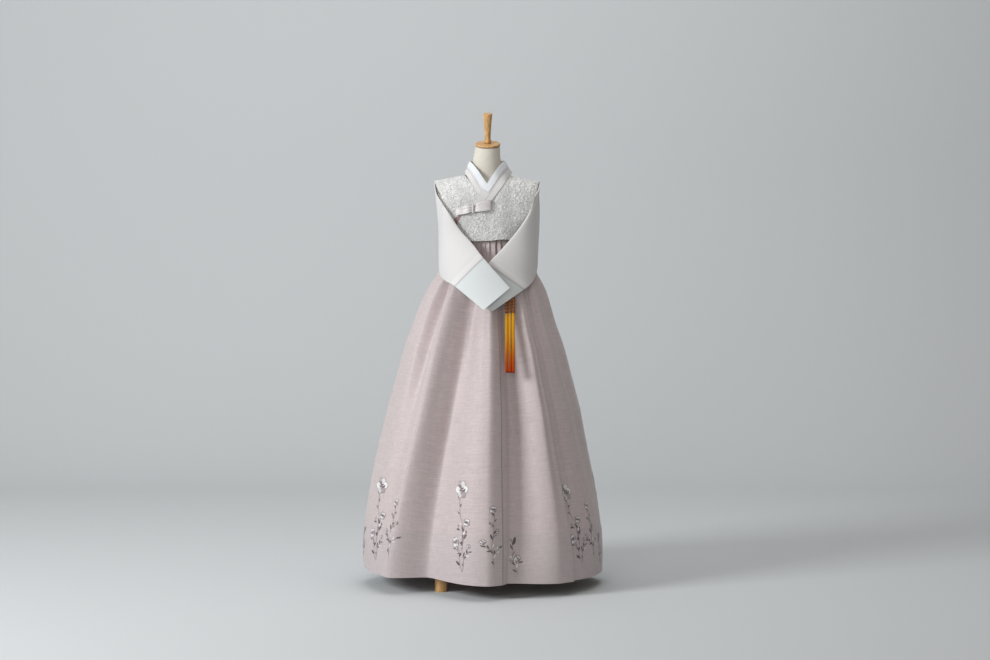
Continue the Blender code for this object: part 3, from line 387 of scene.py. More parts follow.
# What one spray is made of, in metres from its foot.
# A stem's row: across, up, heading, length, bend, leaves, length of a leaf, seed of their draw.
# A flower's row: across, up, radius, turn.
SPRAY_ROWS = {
    "tall": [
        (0.001, 0, 98, 0.075, -30, 2, 0.017, 1),
        (0.002, 0, 84, 0.066, 24, 2, 0.013, 2),
        (-0.002, 0.072, 84, 0.110, 28, 4, 0.019, 3),
        (0.003, 0.066, 92, 0.120, 12, 3, 0.015, 9),
        (-0.006, 0.178, 96, 0.086, -14, 3, 0.015, 4),
        (-0.008, 0.282, 0.0360, 12),
        (-0.002, 0.112, 48, 0.040, 20, 3, 0.013, 5),
        (0.023, 0.172, 0.0150, 40),
        (0.000, 0.062, 146, 0.036, -34, 3, 0.013, 6),
        (-0.028, 0.100, 0.0190, 75),
        (0.001, 0.050, 38, 0.044, 30, 4, 0.014, 7),
        (-0.003, 0.140, 138, 0.026, -20, 2, 0.012, 8),
        (0.031, 0.092, 0.0070, 0),
    ],
    "middle": [
        (0, 0, 96, 0.090, 10, 4, 0.015, 11),
        (-0.006, 0.088, 84, 0.118, 12, 5, 0.017, 12),
        (0.001, 0.213, 0.0155, 40),
        (-0.005, 0.062, 136, 0.044, -26, 4, 0.012, 13),
        (-0.034, 0.098, 0.0085, 20),
        (-0.004, 0.050, 44, 0.042, 26, 4, 0.013, 14),
        (-0.004, 0.108, 50, 0.030, 20, 3, 0.011, 15),
        (0.018, 0.134, 0.0080, 60),
        (-0.002, 0.150, 130, 0.022, -20, 2, 0.011, 16),
    ],
    "small": [
        (0, 0, 104, 0.060, -14, 6, 0.014, 21),
        (-0.010, 0.058, 96, 0.040, 22, 3, 0.020, 22),
        (0.003, 0.044, 0.0100, 10),
        (-0.017, 0.036, 0.0070, 50),
        (-0.004, 0.020, 52, 0.022, 10, 2, 0.011, 23),
    ],
}
THREAD_SHADES = [
    # the stitch's number, its colour
    (0.0, (0.86, 0.85, 0.86)),
    (0.35, (0.44, 0.38, 0.39)),
    (0.7, (0.19, 0.15, 0.155)),
    (1.0, (0.075, 0.055, 0.058)),
]
THREAD_LINE = (0.25, 0.21, 0.21)
SPRAY_HEIGHTS = {"tall": 0.300, "middle": 0.230, "small": 0.104}
SPRAY_LEVEL = 0.86  # share of the skirt's length at which a spray's width is true
STEM_SHADE = 0.62
STEM_HALF = 0.0009
LEAF_SHADES = (1.0, 0.55, 0.92, 0.08, 0.8)
PETAL_RIM = 0.0012  # how far the dark stitches under a petal show round it
PETALS = [
    # shade, length in radii
    (0.02, 0.72), (0.12, 0.66), (0.30, 0.60), (0.0, 0.74), (0.16, 0.68), (0.42, 0.62),
]
INNER_SHADES = (0.10, 0.62, 0.0, 0.34, 0.75)

# Where each embroidered spray grows: column and share of its foot, then of its top.
SPRAYS = [
    ("tall", 34.9, 0.962, 33.2, 0.742),
    ("middle", 39.9, 0.940, 38.9, 0.780),
    ("tall", 51.3, 0.966, 50.7, 0.732),
    ("middle", 55.2, 0.952, 54.9, 0.782),
    ("small", 60.6, 0.975, 60.3, 0.872),
    ("tall", 69.0, 0.957, 67.8, 0.745),
    ("middle", 72.4, 0.952, 72.0, 0.790),
    ("small", 75.6, 0.972, 75.3, 0.880),
    ("tall", 80.5, 0.957, 80.8, 0.735),
    ("middle", 85.5, 0.952, 85.2, 0.775),
    ("tall", 93.0, 0.957, 93.2, 0.735),
    ("middle", 97.0, 0.952, 96.7, 0.775),
    ("small", 101.0, 0.968, 100.9, 0.880),
    ("tall", 105.0, 0.957, 105.2, 0.735),
    ("middle", 3.0, 0.952, 3.2, 0.775),
    ("tall", 8.5, 0.957, 8.3, 0.735),
    ("middle", 12.5, 0.952, 12.8, 0.775),
    ("small", 15.8, 0.968, 15.9, 0.880),
    ("tall", 21.5, 0.957, 21.3, 0.735),
    ("middle", 25.0, 0.952, 25.2, 0.775),
    ("small", 29.5, 0.968, 29.6, 0.880),
]

COLUMN_STEP = 0.02  # small steps over the skirt, to find which way the cloth faces
SHARE_STEP = 0.001

LENS = 85
SENSOR = 36
CAMERA_PLACE = (0.033, -8.5, 1.44)
CAMERA_TILT = math.radians(86.5)
LIGHTS = [
    # name, place, aim, size, power, colour; the key light's power is a setting
    ("key", (-4.9, -3.2, 3.1), (0, 0, 0.95), (2.0, 2.0), None, (0.96, 0.985, 1)),
    ("wash", (0.3, 0.3, 4.8), (0.3, 2.2, 0.3), (4.0, 3.0), 80, (0.97, 0.99, 1)),
    ("fill", (-0.9, -6.4, 2.5), (0, 0, 0.9), (3, 3), 70, (1, 0.985, 0.97)),
]
AIR_COLOUR = (1.0, 0.91, 0.83, 1)
AIR_STRENGTH = 0.185
FAR_COLOUR = (0.50, 0.53, 0.53, 1)  # what shows past the paper
SWEEP_NEAR = (-14, -6, 0)
SWEEP_WALL = 4.2
SWEEP_RADIUS = 1.6
SWEEP_TOP = 7
SWEEP_HALF = 9
SWEEP_COLUMNS = 25

# ---------------------------------------------------------------- curves and grids


def hermite(start, end, start_slope, end_slope, share):
    """Cubic from start to end as share goes from 0 to 1, leaving and arriving at the slopes."""
    square = share * share
    cube = square * share
    return (
        (2 * cube - 3 * square + 1) * start
        + (cube - 2 * square + share) * start_slope
        + (3 * square - 2 * cube) * end
        + (cube - square) * end_slope
    )


def along(knots, values, at):
    """Smooth curve through values given at increasing knots: a cubic between each two knots."""
    knots = np.asarray(knots, float)
    values = np.asarray(values, float)
    at = np.asarray(at, float)
    slopes = np.gradient(values, knots, axis=0)
    index = np.clip(np.searchsorted(knots, at, side="right") - 1, 0, len(knots) - 2)
    length = knots[index + 1] - knots[index]
    share = np.clip((at - knots[index]) / length, 0, 1)
    length = length.reshape(length.shape + (1,) * (values.ndim - 1))
    share = share.reshape(length.shape)
    return hermite(
        values[index], values[index + 1], slopes[index] * length, slopes[index + 1] * length, share
    )


def rows_along(table, count):
    """The table's rows read at evenly spaced places by the smooth curve through them."""
    return along(np.arange(len(table)), np.array(table), np.linspace(0, len(table) - 1, count))


def chain(points, share):
    """Places along a chain of straight runs, by share of its length."""
    points = np.asarray(points, float)
    steps = np.linalg.norm(np.diff(points, axis=0), axis=1)
    knots = np.concatenate([[0], np.cumsum(steps)]) / steps.sum()
    return np.stack([np.interp(share, knots, values) for values in points.T], axis=-1)


def route(points, share):
    """Places along a smooth curve through points, by share of its length."""
    points = np.asarray(points, float)
    steps = np.linalg.norm(np.diff(points, axis=0), axis=1)
    knots = np.concatenate([[0], np.cumsum(steps)]) / steps.sum()
    return along(knots, points, share)


def ease(low, high, value):
    """0 below low, 1 above high, and smooth between."""
    share = np.clip((value - low) / (high - low), 0, 1)
    return share * share * (3 - 2 * share)


def blunted(wave, power):
    """The wave's size raised to the power, with its sign kept, which squares off a circle."""
    return np.sign(wave) * np.abs(wave) ** power


def bell(distance, half):
    """1 at no distance, falling to 1/e at half and on to 0: exp(-(distance / half) squared)."""
    return np.exp(-((distance / half) ** 2))


def unit(vectors):
    """The vectors at length 1."""
    return vectors / np.maximum(np.linalg.norm(vectors, axis=-1, keepdims=True), 1e-12)


def facing_of(grid, closed=False):
    """Unit vector square to the grid at each point: the cross product of its two directions."""
    down = np.gradient(grid, axis=0)
    if closed:
        across = np.roll(grid, -1, axis=1) - np.roll(grid, 1, axis=1)
    else:
        across = np.gradient(grid, axis=1)
    return unit(np.cross(down, across))


def drawn_in(grid, amount, first_row=False, last_row=False, columns=False):
    """The grid with its named edges moved towards their neighbours by the amount."""
    grid = grid.copy()
    if first_row:
        grid[0] += unit(grid[1] - grid[0]) * amount
    if last_row:
        grid[-1] += unit(grid[-2] - grid[-1]) * amount
    if columns:
        grid[:, 0] += unit(grid[:, 1] - grid[:, 0]) * amount
        grid[:, -1] += unit(grid[:, -2] - grid[:, -1]) * amount
    return grid


def ripple(u, v, seed, count=5, reach=1.0):
    """Gentle unevenness between -1 and 1: a sum of waves in different directions."""
    draw = np.random.default_rng(seed)
    total = np.zeros(np.broadcast(u, v).shape)
    for turn, speed, start in draw.uniform(0, 1, (count, 3)):
        heading = turn * math.pi
        pace = reach * (0.5 + speed)
        total += np.sin(pace * (u * math.cos(heading) + v * math.sin(heading)) + start * 6.3)
    return total / count


# ---------------------------------------------------------------- meshes


def add_mesh(name, points, faces, corners, material, sharp=40):
    """One mesh piece from points, faces and a UV place for every face corner."""
    mesh = bpy.data.meshes.new(name)
    mesh.from_pydata((np.asarray(points) + PLACE).tolist(), [], faces)
    mesh.materials.append(material)
    layer = mesh.uv_layers.new(name="UVMap")
    layer.data.foreach_set("uv", np.ascontiguousarray(corners, np.float32).ravel())
    mesh.shade_smooth()
    mesh.set_sharp_from_angle(angle=math.radians(sharp))
    item = bpy.data.objects.new(name, mesh)
    bpy.context.scene.collection.objects.link(item)
    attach(item, "root")
    return item


def grid_faces(rows, columns, closed):
    """Four-cornered faces of a grid, as rows of point numbers, and the numbers of its points."""
    index = np.arange(rows * columns).reshape(rows, columns)
    if closed:
        index = np.concatenate([index, index[:, :1]], axis=1)
    quads = np.stack([index[:-1, :-1], index[1:, :-1], index[1:, 1:], index[:-1, 1:]], axis=-1)
    return quads.reshape(-1, 4), index


def measured_uv(grid, closed=False):
    """UV in metres: distance across the cloth from its first column, and down from its first row."""
    if closed:
        grid = np.concatenate([grid, grid[:, :1]], axis=1)
    across = np.linalg.norm(np.diff(grid, axis=1), axis=2)
    across = np.concatenate([np.zeros((len(grid), 1)), np.cumsum(across, axis=1)], axis=1)
    down = np.linalg.norm(np.diff(grid, axis=0), axis=2)
    down = np.concatenate([np.zeros((1, grid.shape[1])), np.cumsum(down, axis=0)])
    return np.stack([across, down], axis=-1)


def wall(name, outer, inner, material, slot, closed=False, uv=None, sharp=40):
    """Closed wall of cloth between two grids of the same shape, with rims along its edges."""
    rows, columns = outer.shape[:2]
    quads, index = grid_faces(rows, columns, closed)
    order = -1 if np.sum(facing_of(outer, closed) * (outer - inner)) < 0 else 1
    uv = measured_uv(outer, closed) if uv is None else uv
    flat_uv = uv.reshape(-1, 2)
    uv_quads = grid_faces(rows, uv.shape[1], False)[0]
    shift = rows * columns
    edges = [(index[0], uv[0]), (index[-1][::-1], uv[-1][::-1])]
    if not closed:
        edges += [(index[::-1, 0], uv[::-1, 0]), (index[:, -1], uv[:, -1])]
    rims = [np.stack([e[:-1], e[1:], e[1:] + shift, e[:-1] + shift], axis=-1) for e, _ in edges]
    rim_uv = [np.stack([e[:-1], e[1:], e[1:], e[:-1]], axis=1) for _, e in edges]
    faces = np.concatenate([quads, quads[:, ::-1] + shift] + rims)[:, ::order]
    corners = np.concatenate([flat_uv[uv_quads], flat_uv[uv_quads[:, ::-1]]] + rim_uv)[:, ::order]
    points = np.concatenate([outer.reshape(-1, 3), inner.reshape(-1, 3)])
    return add_mesh(name, points, faces.tolist(), corners, material, sharp)


def cut_size(grid, closed=False):
    """What the cloth measures laid flat: widest width, length down the middle, and area."""
    uv = measured_uv(grid, closed)
    whole = np.concatenate([grid, grid[:, :1]], axis=1) if closed else grid
    one = whole[1:, 1:] - whole[:-1, :-1]
    other = whole[1:, :-1] - whole[:-1, 1:]
    area = np.linalg.norm(np.cross(one, other), axis=2).sum() / 2
    width = uv[:, -1, 0].max()
    length = uv[-1, :, 1].max()
    return (float(width), float(length)), float(min(area, 0.999 * width * length))


def sheet(grid, closed=False):
    """Works out the size that the piece's grid has laid flat; nothing keeps it."""
    flat, area = cut_size(grid, closed)


def round_angles(count):
    """That many evenly spaced angles round a circle, as one row."""
    return np.linspace(0, 2 * math.pi, count, endpoint=False)[None, :]


def lathe(name, profile, material, turns=64, place=(0, 0, 0), tilt=0.0, rows=None):
    """Turned piece: a profile of radius and height carried round an axis, leaned towards -Y."""
    profile = np.array(profile)
    if rows:
        profile = chain_round(profile, rows)
    angles = round_angles(turns)
    radius, height = profile[:, :1], profile[:, 1:2]
    x = radius * np.sin(angles)
    flat_y = -radius * np.cos(angles)
    y = flat_y * math.cos(tilt) - height * math.sin(tilt)
    z = height * math.cos(tilt) + flat_y * math.sin(tilt)
    grid = np.stack([x, y, z], axis=-1) + np.asarray(place)
    return capped(name, grid, material)


def chain_round(profile, rows):
    """A profile with its corners rounded: a smooth curve through its points."""
    steps = np.linalg.norm(np.diff(profile, axis=0), axis=1)
    knots = np.concatenate([[0], np.cumsum(steps)])
    return along(knots, profile, np.linspace(0, knots[-1], rows))


def capped(name, grid, material, sharp=40):
    """Closed tube through rows of points, with a flat face at each end."""
    rows, turns = grid.shape[:2]
    uv = measured_uv(grid, True)
    sides = uv.reshape(-1, 2)[grid_faces(rows, turns + 1, False)[0]]
    ends = [list(range(turns)), list(range((rows - 1) * turns, rows * turns))[::-1]]
    outward = grid - grid.mean(axis=1, keepdims=True)
    order = -1 if np.sum(facing_of(grid, True) * outward) < 0 else 1
    faces = [face[::order] for face in grid_faces(rows, turns, True)[0].tolist() + ends]
    end_uv = [uv[0, :-1][::order], uv[-1, :-1][::-order]]
    corners = np.concatenate([sides[:, ::order].reshape(-1, 2)] + end_uv)
    return add_mesh(name, grid.reshape(-1, 3), faces, corners, material, sharp)


# ---------------------------------------------------------------- shading


class Value:
    """A shader socket that arithmetic turns into Math nodes."""

    def __init__(self, tree, socket):
        self.tree = tree
        self.socket = socket

    def math(self, operation, *values):
        return self.tree.node("ShaderNodeMath", {"operation": operation}, dict(enumerate(values)))

    def __add__(self, other):
        return self.math("ADD", self, other)

    def __sub__(self, other):
        return self.math("SUBTRACT", self, other)

    def __rsub__(self, other):
        return self.math("SUBTRACT", other, self)

    def __mul__(self, other):
        return self.math("MULTIPLY", self, other)

    def __lt__(self, other):
        return self.math("LESS_THAN", self, other)

    __radd__ = __add__
    __rmul__ = __mul__

    def sine(self):
        return self.math("SINE", self)

    def between(self, low, high, to_low=0.0, to_high=1.0):
        """This value carried from one range to another, and kept inside it."""
        settings = {"interpolation_type": "SMOOTHSTEP"}
        sockets = {0: self, 1: low, 2: high, 3: to_low, 4: to_high}
        return self.tree.node("ShaderNodeMapRange", settings, sockets)


class Tree:
    """A node tree: node() makes every node, and feed() fills the node at the tree's end."""

    def __init__(self, tree, end):
        self.tree = tree
        self.end = tree.nodes[end]

    def fill(self, node, sockets):
        """Links or sets a node's sockets, each known by its name or number."""
        for key, value in sockets.items():
            if isinstance(value, Value):
                self.tree.links.new(value.socket, node.inputs[key])
            else:
                node.inputs[key].default_value = value

    def node(self, kind, settings=None, sockets=None, output=0):
        """A node of that type: its settings first, then the values or links of its sockets."""
        node = self.tree.nodes.new(kind)
        for key, value in (settings or {}).items():
            if key == "stops":
                ramp = node.color_ramp
                while len(ramp.elements) < len(value):
                    ramp.elements.new(0.5)
                for element, (place, colour) in zip(ramp.elements, value):
                    element.position = place
                    element.color = (*colour, 1)
            else:
                setattr(node, key, value)
        self.fill(node, sockets or {})
        return Value(self, node.outputs[output])

    def feed(self, **inputs):
        """Sets or links inputs of the end node; an underscore stands for a space."""
        self.fill(self.end, {key.replace("_", " "): value for key, value in inputs.items()})


class Finish(Tree):
    """One procedural material, with the patterns that the cloths and woods share."""

    def __init__(self, name, roughness=0.7, **constants):
        self.material = bpy.data.materials.new(name)
        self.material.use_nodes = True
        super().__init__(self.material.node_tree, "Principled BSDF")
        self.feed(Roughness=roughness, **constants)

    def uv(self):
        return self.node("ShaderNodeTexCoord", output=2)

    def place(self):
        return self.node("ShaderNodeTexCoord", output=3)

    def height(self):
        return self.node("ShaderNodeSeparateXYZ", None, {0: self.place()}, output=2)

    def attribute(self, name):
        return self.node("ShaderNodeAttribute", {"attribute_name": name}, output=2)

    def noise(self, vector, scale, detail=2.0, roughness=0.5, distortion=0.0):
        sockets = {
            "Vector": vector,
            "Scale": scale,
            "Detail": detail,
            "Roughness": roughness,
            "Distortion": distortion,
        }
        return self.node("ShaderNodeTexNoise", None, sockets)

    def drawn_out(self, vector, scale, *noise):
        """Noise with its own scale along each axis, in marks per metre."""
        return self.noise(
            self.node("ShaderNodeMapping", None, {0: vector, "Scale": scale}), 1.0, *noise
        )

    def threads(self, across, down, detail=1.0, roughness=0.5):
        """Noise drawn out one way on the cloth: marks per metre across it and down it."""
        return self.drawn_out(self.uv(), (across, down, 1), detail, roughness)

    def cells(self, vector, scale, feature="F1"):
        sockets = {"Vector": vector, "Scale": scale}
        return self.node("ShaderNodeTexVoronoi", {"feature": feature}, sockets)

    def mix(self, factor, first, second):
        first, second = (
            item if isinstance(item, Value) else (*item, 1) for item in (first, second)
        )
        sockets = {0: factor, 6: first, 7: second}
        return self.node("ShaderNodeMix", {"data_type": "RGBA"}, sockets, output=2)

    def tone(self, value, low, high, colour, dark, light):
        """The colour, darkened where the value is low and lightened where it is high."""
        return self.mix(value.between(low, high), scaled(colour, dark), scaled(colour, light))

    def ramp(self, value, stops):
        return self.node("ShaderNodeValToRGB", {"stops": stops}, {0: value})

    def bump(self, height, distance, strength=1.0):
        sockets = {"Height": height, "Distance": distance, "Strength": strength}
        self.feed(Normal=self.node("ShaderNodeBump", None, sockets))


def scaled(colour, factor):
    return tuple(min(1.0, value * factor) for value in colour)


def skirt_silk(colour):
    """Slubbed silk: weft threads as noise drawn out across the cloth, painted shadow along each seam,
    and a greyer band where the hem is turned up."""
    finish = Finish("mauve_silk_weave", 0.62, Sheen_Weight=0.25, Sheen_Roughness=0.45)
    slub = finish.threads(22, 520, 2.0, 0.6)
    thread = finish.threads(45, 1100)
    streak = finish.threads(5, 190, 2.0)
    warp = finish.threads(520, 26)
    light = 0.40 * slub + 0.22 * thread + 0.16 * streak + 0.22 * warp
    cloud = finish.noise(finish.place(), 3.0)
    ground = finish.tone(light, 0.36, 0.64, colour, 0.84, 1.12)
    ground = finish.mix(cloud.between(0.35, 0.75) * 0.20, ground, scaled(colour, 1.10))
    turned_up = (finish.height() < HEM_TURNED_UP) * 0.16
    grey = (colour[1] * 0.84, colour[1] * 0.80, colour[1] * 0.86)
    ground = finish.mix(turned_up, ground, grey)
    # painted shadow along each seam, carried by the seam attribute
    ground = finish.mix(finish.attribute("seam"), ground, scaled(colour, 0.30))
    finish.feed(Base_Color=ground, Roughness=light.between(0.3, 0.7, 0.70, 0.54))
    finish.bump(light, 0.0010, 0.5)
    return finish.material


def corded_lace(colour):
    """Corded lace: rings and leaves of cord from two layers of cells, standing over a net."""
    finish = Finish("ivory_corded_lace", 0.82, Sheen_Weight=0.12)
    uv = finish.uv()
    bend = finish.noise(uv, 60.0, 1.0)
    sockets = {0: bend, 1: (0.012, 0.012, 0), 2: uv}
    wander = finish.node("ShaderNodeVectorMath", {"operation": "MULTIPLY_ADD"}, sockets)
    rings = (finish.cells(wander, 40.0) * 13.0).sine().between(-0.2, 0.8)
    leaves = finish.cells(wander, 95.0, "DISTANCE_TO_EDGE").between(0.02, 0.17)
    net = finish.cells(uv, 300.0, "DISTANCE_TO_EDGE").between(0.02, 0.12)
    spread = finish.noise(uv, 22.0).between(0.38, 0.60)
    cord = (0.38 * rings + 0.42 * leaves) * (0.35 + 0.65 * spread) + 0.22 * net
    ground = finish.tone(cord, 0.12, 0.62, colour, 0.82, 1.10)
    finish.feed(Base_Color=ground, Roughness=cord.between(0.2, 0.8, 0.9, 0.66))
    finish.bump(cord, 0.0034)
    return finish.material


def plain_silk(name, colour, band=None):
    """Plain matt silk: fine crossed threads, a paler band where two layers lie together, and painted
    shade along its seams and stitched lines.
    """
    finish = Finish(name, 0.66, Sheen_Weight=0.15)
    thread = 0.5 * finish.threads(500, 60, 2.0) + 0.5 * finish.threads(40, 620, 2.0)
    cloud = finish.noise(finish.place(), 9.0)
    ground = finish.tone(thread, 0.36, 0.64, colour, 0.965, 1.02)
    ground = finish.mix(cloud.between(0.3, 0.7) * 0.5, ground, scaled(colour, 0.975))
    if band:
        ground = finish.mix(finish.attribute("band") * 0.75, ground, band)
    # painted shade along seams and stitched lines, carried by the seam attribute
    ground = finish.mix(finish.attribute("seam") * 0.55, ground, scaled(colour, 0.45))
    finish.feed(Base_Color=ground)
    finish.bump(thread, 0.0005, 0.35)
    return finish.material


def pressed_cotton(name, colour):
    """Starched cotton: a fine even weave that hardly shows, and painted shade along a line near its
    edge.
    """
    finish = Finish(name, 0.8)
    weave = finish.threads(900, 900)
    ground = finish.tone(weave, 0.3, 0.7, colour, 0.97, 1.02)
    # painted shade along the line that the seam attribute marks
    ground = finish.mix(finish.attribute("seam") * 0.5, ground, scaled(colour, 0.5))
    finish.feed(Base_Color=ground)
    finish.bump(weave, 0.0003, 0.3)
    return finish.material


def ribbon_satin(name, colour):
    """Ribbon: ribs across it, with a soft sheen."""
    finish = Finish(name, 0.42, Sheen_Weight=0.3, Anisotropic=0.3)
    ribs = finish.threads(60, 1100)
    cloud = finish.noise(finish.uv(), 70.0)
    ground = finish.tone(ribs, 0.3, 0.7, colour, 0.90, 1.06)
    ground = finish.mix(cloud.between(0.35, 0.7) * 0.35, ground, scaled(colour, 0.80))
    finish.feed(Base_Color=ground)
    finish.bump(ribs, 0.0004, 0.4)
    return finish.material


def wound_thread(name, colour):
    """Fine thread laid lengthwise: streaks along the piece, lighter where they stand up."""
    finish = Finish(name, 0.50, Specular_IOR_Level=0.35)
    strands = finish.threads(2600, 30)
    finish.feed(Base_Color=finish.tone(strands, 0.3, 0.7, colour, 0.62, 1.15))
    finish.bump(strands, 0.0004, 0.5)
    return finish.material


def fringe_silk(top, foot):
    """Tassel fringe: golden at its head and deep orange at its foot, in fine strands."""
    finish = Finish("norigae_fringe_strands", 0.7, Specular_IOR_Level=0.1)
    strands = finish.threads(2300, 7, 2.0)
    ground = finish.mix(finish.height().between(0.785, 0.965), foot, top)
    ground = finish.mix(strands.between(0.42, 0.70) * 0.55, ground, scaled(foot, 0.45))
    finish.feed(Base_Color=ground)
    finish.bump(strands, 0.0006, 0.6)
    return finish.material


def linen(colour):
    """Undyed linen: crossed threads of uneven thickness, and a few faint marks."""
    finish = Finish("form_linen_weave", 0.88)
    weave = 0.5 * finish.threads(70, 700, 2.0) + 0.5 * finish.threads(700, 70, 2.0)
    mark = finish.noise(finish.place(), 26.0, 3.0).between(0.62, 0.76)
    ground = finish.tone(weave, 0.32, 0.68, colour, 0.90, 1.05)
    ground = finish.mix(mark * 0.28, ground, scaled(colour, 0.72))
    finish.feed(Base_Color=ground)
    finish.bump(weave, 0.0007, 0.5)
    return finish.material


def turned_maple():
    """Varnished maple, shared by the form and the stand: long grain as noise drawn out along the
    piece, under a satin coat."""
    if MAPLE in bpy.data.materials:
        return bpy.data.materials[MAPLE]
    colour = tuple(stand_settings().wood)
    finish = Finish(MAPLE, 0.42, Coat_Weight=0.25, Coat_Roughness=0.25)
    grain = finish.drawn_out(finish.place(), (150, 150, 9), 4.0, 0.6, 0.4)
    pore = finish.drawn_out(finish.place(), (900, 900, 40), 1.0)
    tone = 0.75 * grain + 0.25 * pore
    ground = finish.tone(tone, 0.32, 0.70, colour, 0.66, 1.22)
    finish.feed(Base_Color=ground, Roughness=tone.between(0.3, 0.7, 0.36, 0.5))
    finish.bump(tone, 0.0004, 0.3)
    return finish.material


def satin_stitch():
    """Embroidery thread: its shade comes from the stitch, with fine lines along it."""
    finish = Finish("embroidery_thread", 0.40, Sheen_Weight=0.2)
    lines = finish.threads(1800, 60)
    ground = finish.ramp(finish.attribute("thread"), THREAD_SHADES)
    ground = finish.mix(lines.between(0.4, 0.7) * 0.25, ground, THREAD_LINE)
    finish.feed(Base_Color=ground)
    finish.bump(lines, 0.0003, 0.4)
    return finish.material


def studio_paper(name, colour):
    """Seamless paper: almost even, with a faint slow change of tone; from behind it is clear."""
    finish = Finish(name, 0.9)
    behind = finish.node("ShaderNodeNewGeometry", output=6)
    cloud = finish.noise(finish.place(), 0.35, 1.0)
    ground = finish.tone(cloud, 0.3, 0.7, colour, 0.985, 1.0)
    finish.feed(Base_Color=ground, Alpha=1 - behind)
    return finish.material


def point_values(piece, name, values):
    """Stores one number per point of a wall, the same on both of its faces."""
    mesh = piece.data
    layer = mesh.attributes.new(name, "FLOAT", "POINT")
    flat = np.asarray(values, np.float32).ravel()
    repeats = len(mesh.vertices) // len(flat)
    layer.data.foreach_set("value", np.tile(flat, repeats))


# ---------------------------------------------------------------- settings


def colour_property(name, description, default):
    """A colour that the user may change."""
    return bpy.props.FloatVectorProperty(
        name=name, description=description, default=default, size=3, min=0, max=1, subtype="COLOR"
    )


def length_property(name, description, default, high):
    """A length in metres that the user may change, from 0 to the highest."""
    return bpy.props.FloatProperty(
        name=name, description=description, default=default, min=0, max=high, precision=4,
        subtype="DISTANCE", unit="LENGTH",
    )


class HanbokCloth(bpy.types.PropertyGroup):
    """Cloth of the skirt and the jacket."""

    silk: colour_property("Skirt silk", "Colour of the skirt", (0.550, 0.470, 0.468))
    lace: colour_property("Lace", "Colour of the bodice's lace", (0.800, 0.800, 0.785))
    sleeve: colour_property("Sleeves", "Colour of the sleeves and collar", (0.670, 0.655, 0.650))
    cuff: colour_property("Cuffs", "Colour of the cuffs", (0.680, 0.710, 0.715))
    strip: colour_property("Collar strip", "Colour of the white strip", (0.740, 0.765, 0.800))
    crease: length_property("Crease depth", "Depth of the deepest soft crease", 0.005, 0.02)


class HanbokTrim(bpy.types.PropertyGroup):
    """Bow, pendant and embroidery."""

    ribbon: colour_property("Ribbon", "Colour of the bow", (0.695, 0.650, 0.655))
    # painted shade: the tail is the same ribbon, coloured as it looks in shadow under the loop
    tail: colour_property("Ribbon tail", "Colour of the turned-under end", (0.280, 0.150, 0.140))
    orange: colour_property("Orange thread", "Colour of the pendant's thread", (0.50, 0.17, 0.012))
    purple: colour_property("Purple thread", "Colour of the rows between", (0.055, 0.022, 0.035))
    fringe_top: colour_property("Fringe, top", "Colour at the head", (0.66, 0.33, 0.010))
    fringe_foot: colour_property("Fringe, foot", "Colour at the foot", (0.40, 0.040, 0.001))
    stitch: length_property("Stitch height", "How far the embroidery stands up", 0.0007, 0.003)


class HanbokStand(bpy.types.PropertyGroup):
    """Dress form, stand and studio."""

    linen: colour_property("Linen", "Colour of the form's cover", (0.680, 0.645, 0.565))
    wood: colour_property("Maple", "Colour of the turned wood", (0.640, 0.370, 0.140))
    floor: colour_property("Paper", "Colour of the studio paper", (0.655, 0.680, 0.695))
    key: bpy.props.FloatProperty(
        name="Key light", description="Power of the large light", default=284, min=0, unit="POWER"
    )


def cloth_settings():
    return bpy.context.scene.hanbok_cloth


def trim_settings():
    return bpy.context.scene.hanbok_trim


def stand_settings():
    return bpy.context.scene.hanbok_stand


# ---------------------------------------------------------------- the skirt's surface


def three_point(first, second, third, knots, at):
    """Parabola through three values at three knots."""
    a, b, c = knots
    return (
        first * (at - b) * (at - c) / ((a - b) * (a - c))
        + second * (at - a) * (at - c) / ((b - a) * (b - c))
        + third * (at - a) * (at - b) / ((c - a) * (c - b))
    )


def creases(columns, shares, depth):
    """Soft creases: each is a bell across its line, swelling and dying away down its length."""
    total = np.zeros(columns.shape)
    for top, foot, start, end, half, deep in SOFT_CREASES:
        line = top + (foot - top) * shares
        across = bell(columns - line, half)
        swell = ease(start, start + CREASE_SWELL, shares)
        total -= deep * across * swell * (1 - ease(end - CREASE_SWELL, end, shares))
    waves = ripple(columns * 0.9, shares * 9, 4, 7) * CLOTH_WAVE * ease(0.2, 0.5, shares)
    return (total + waves) * depth / CREASE_DEPTH


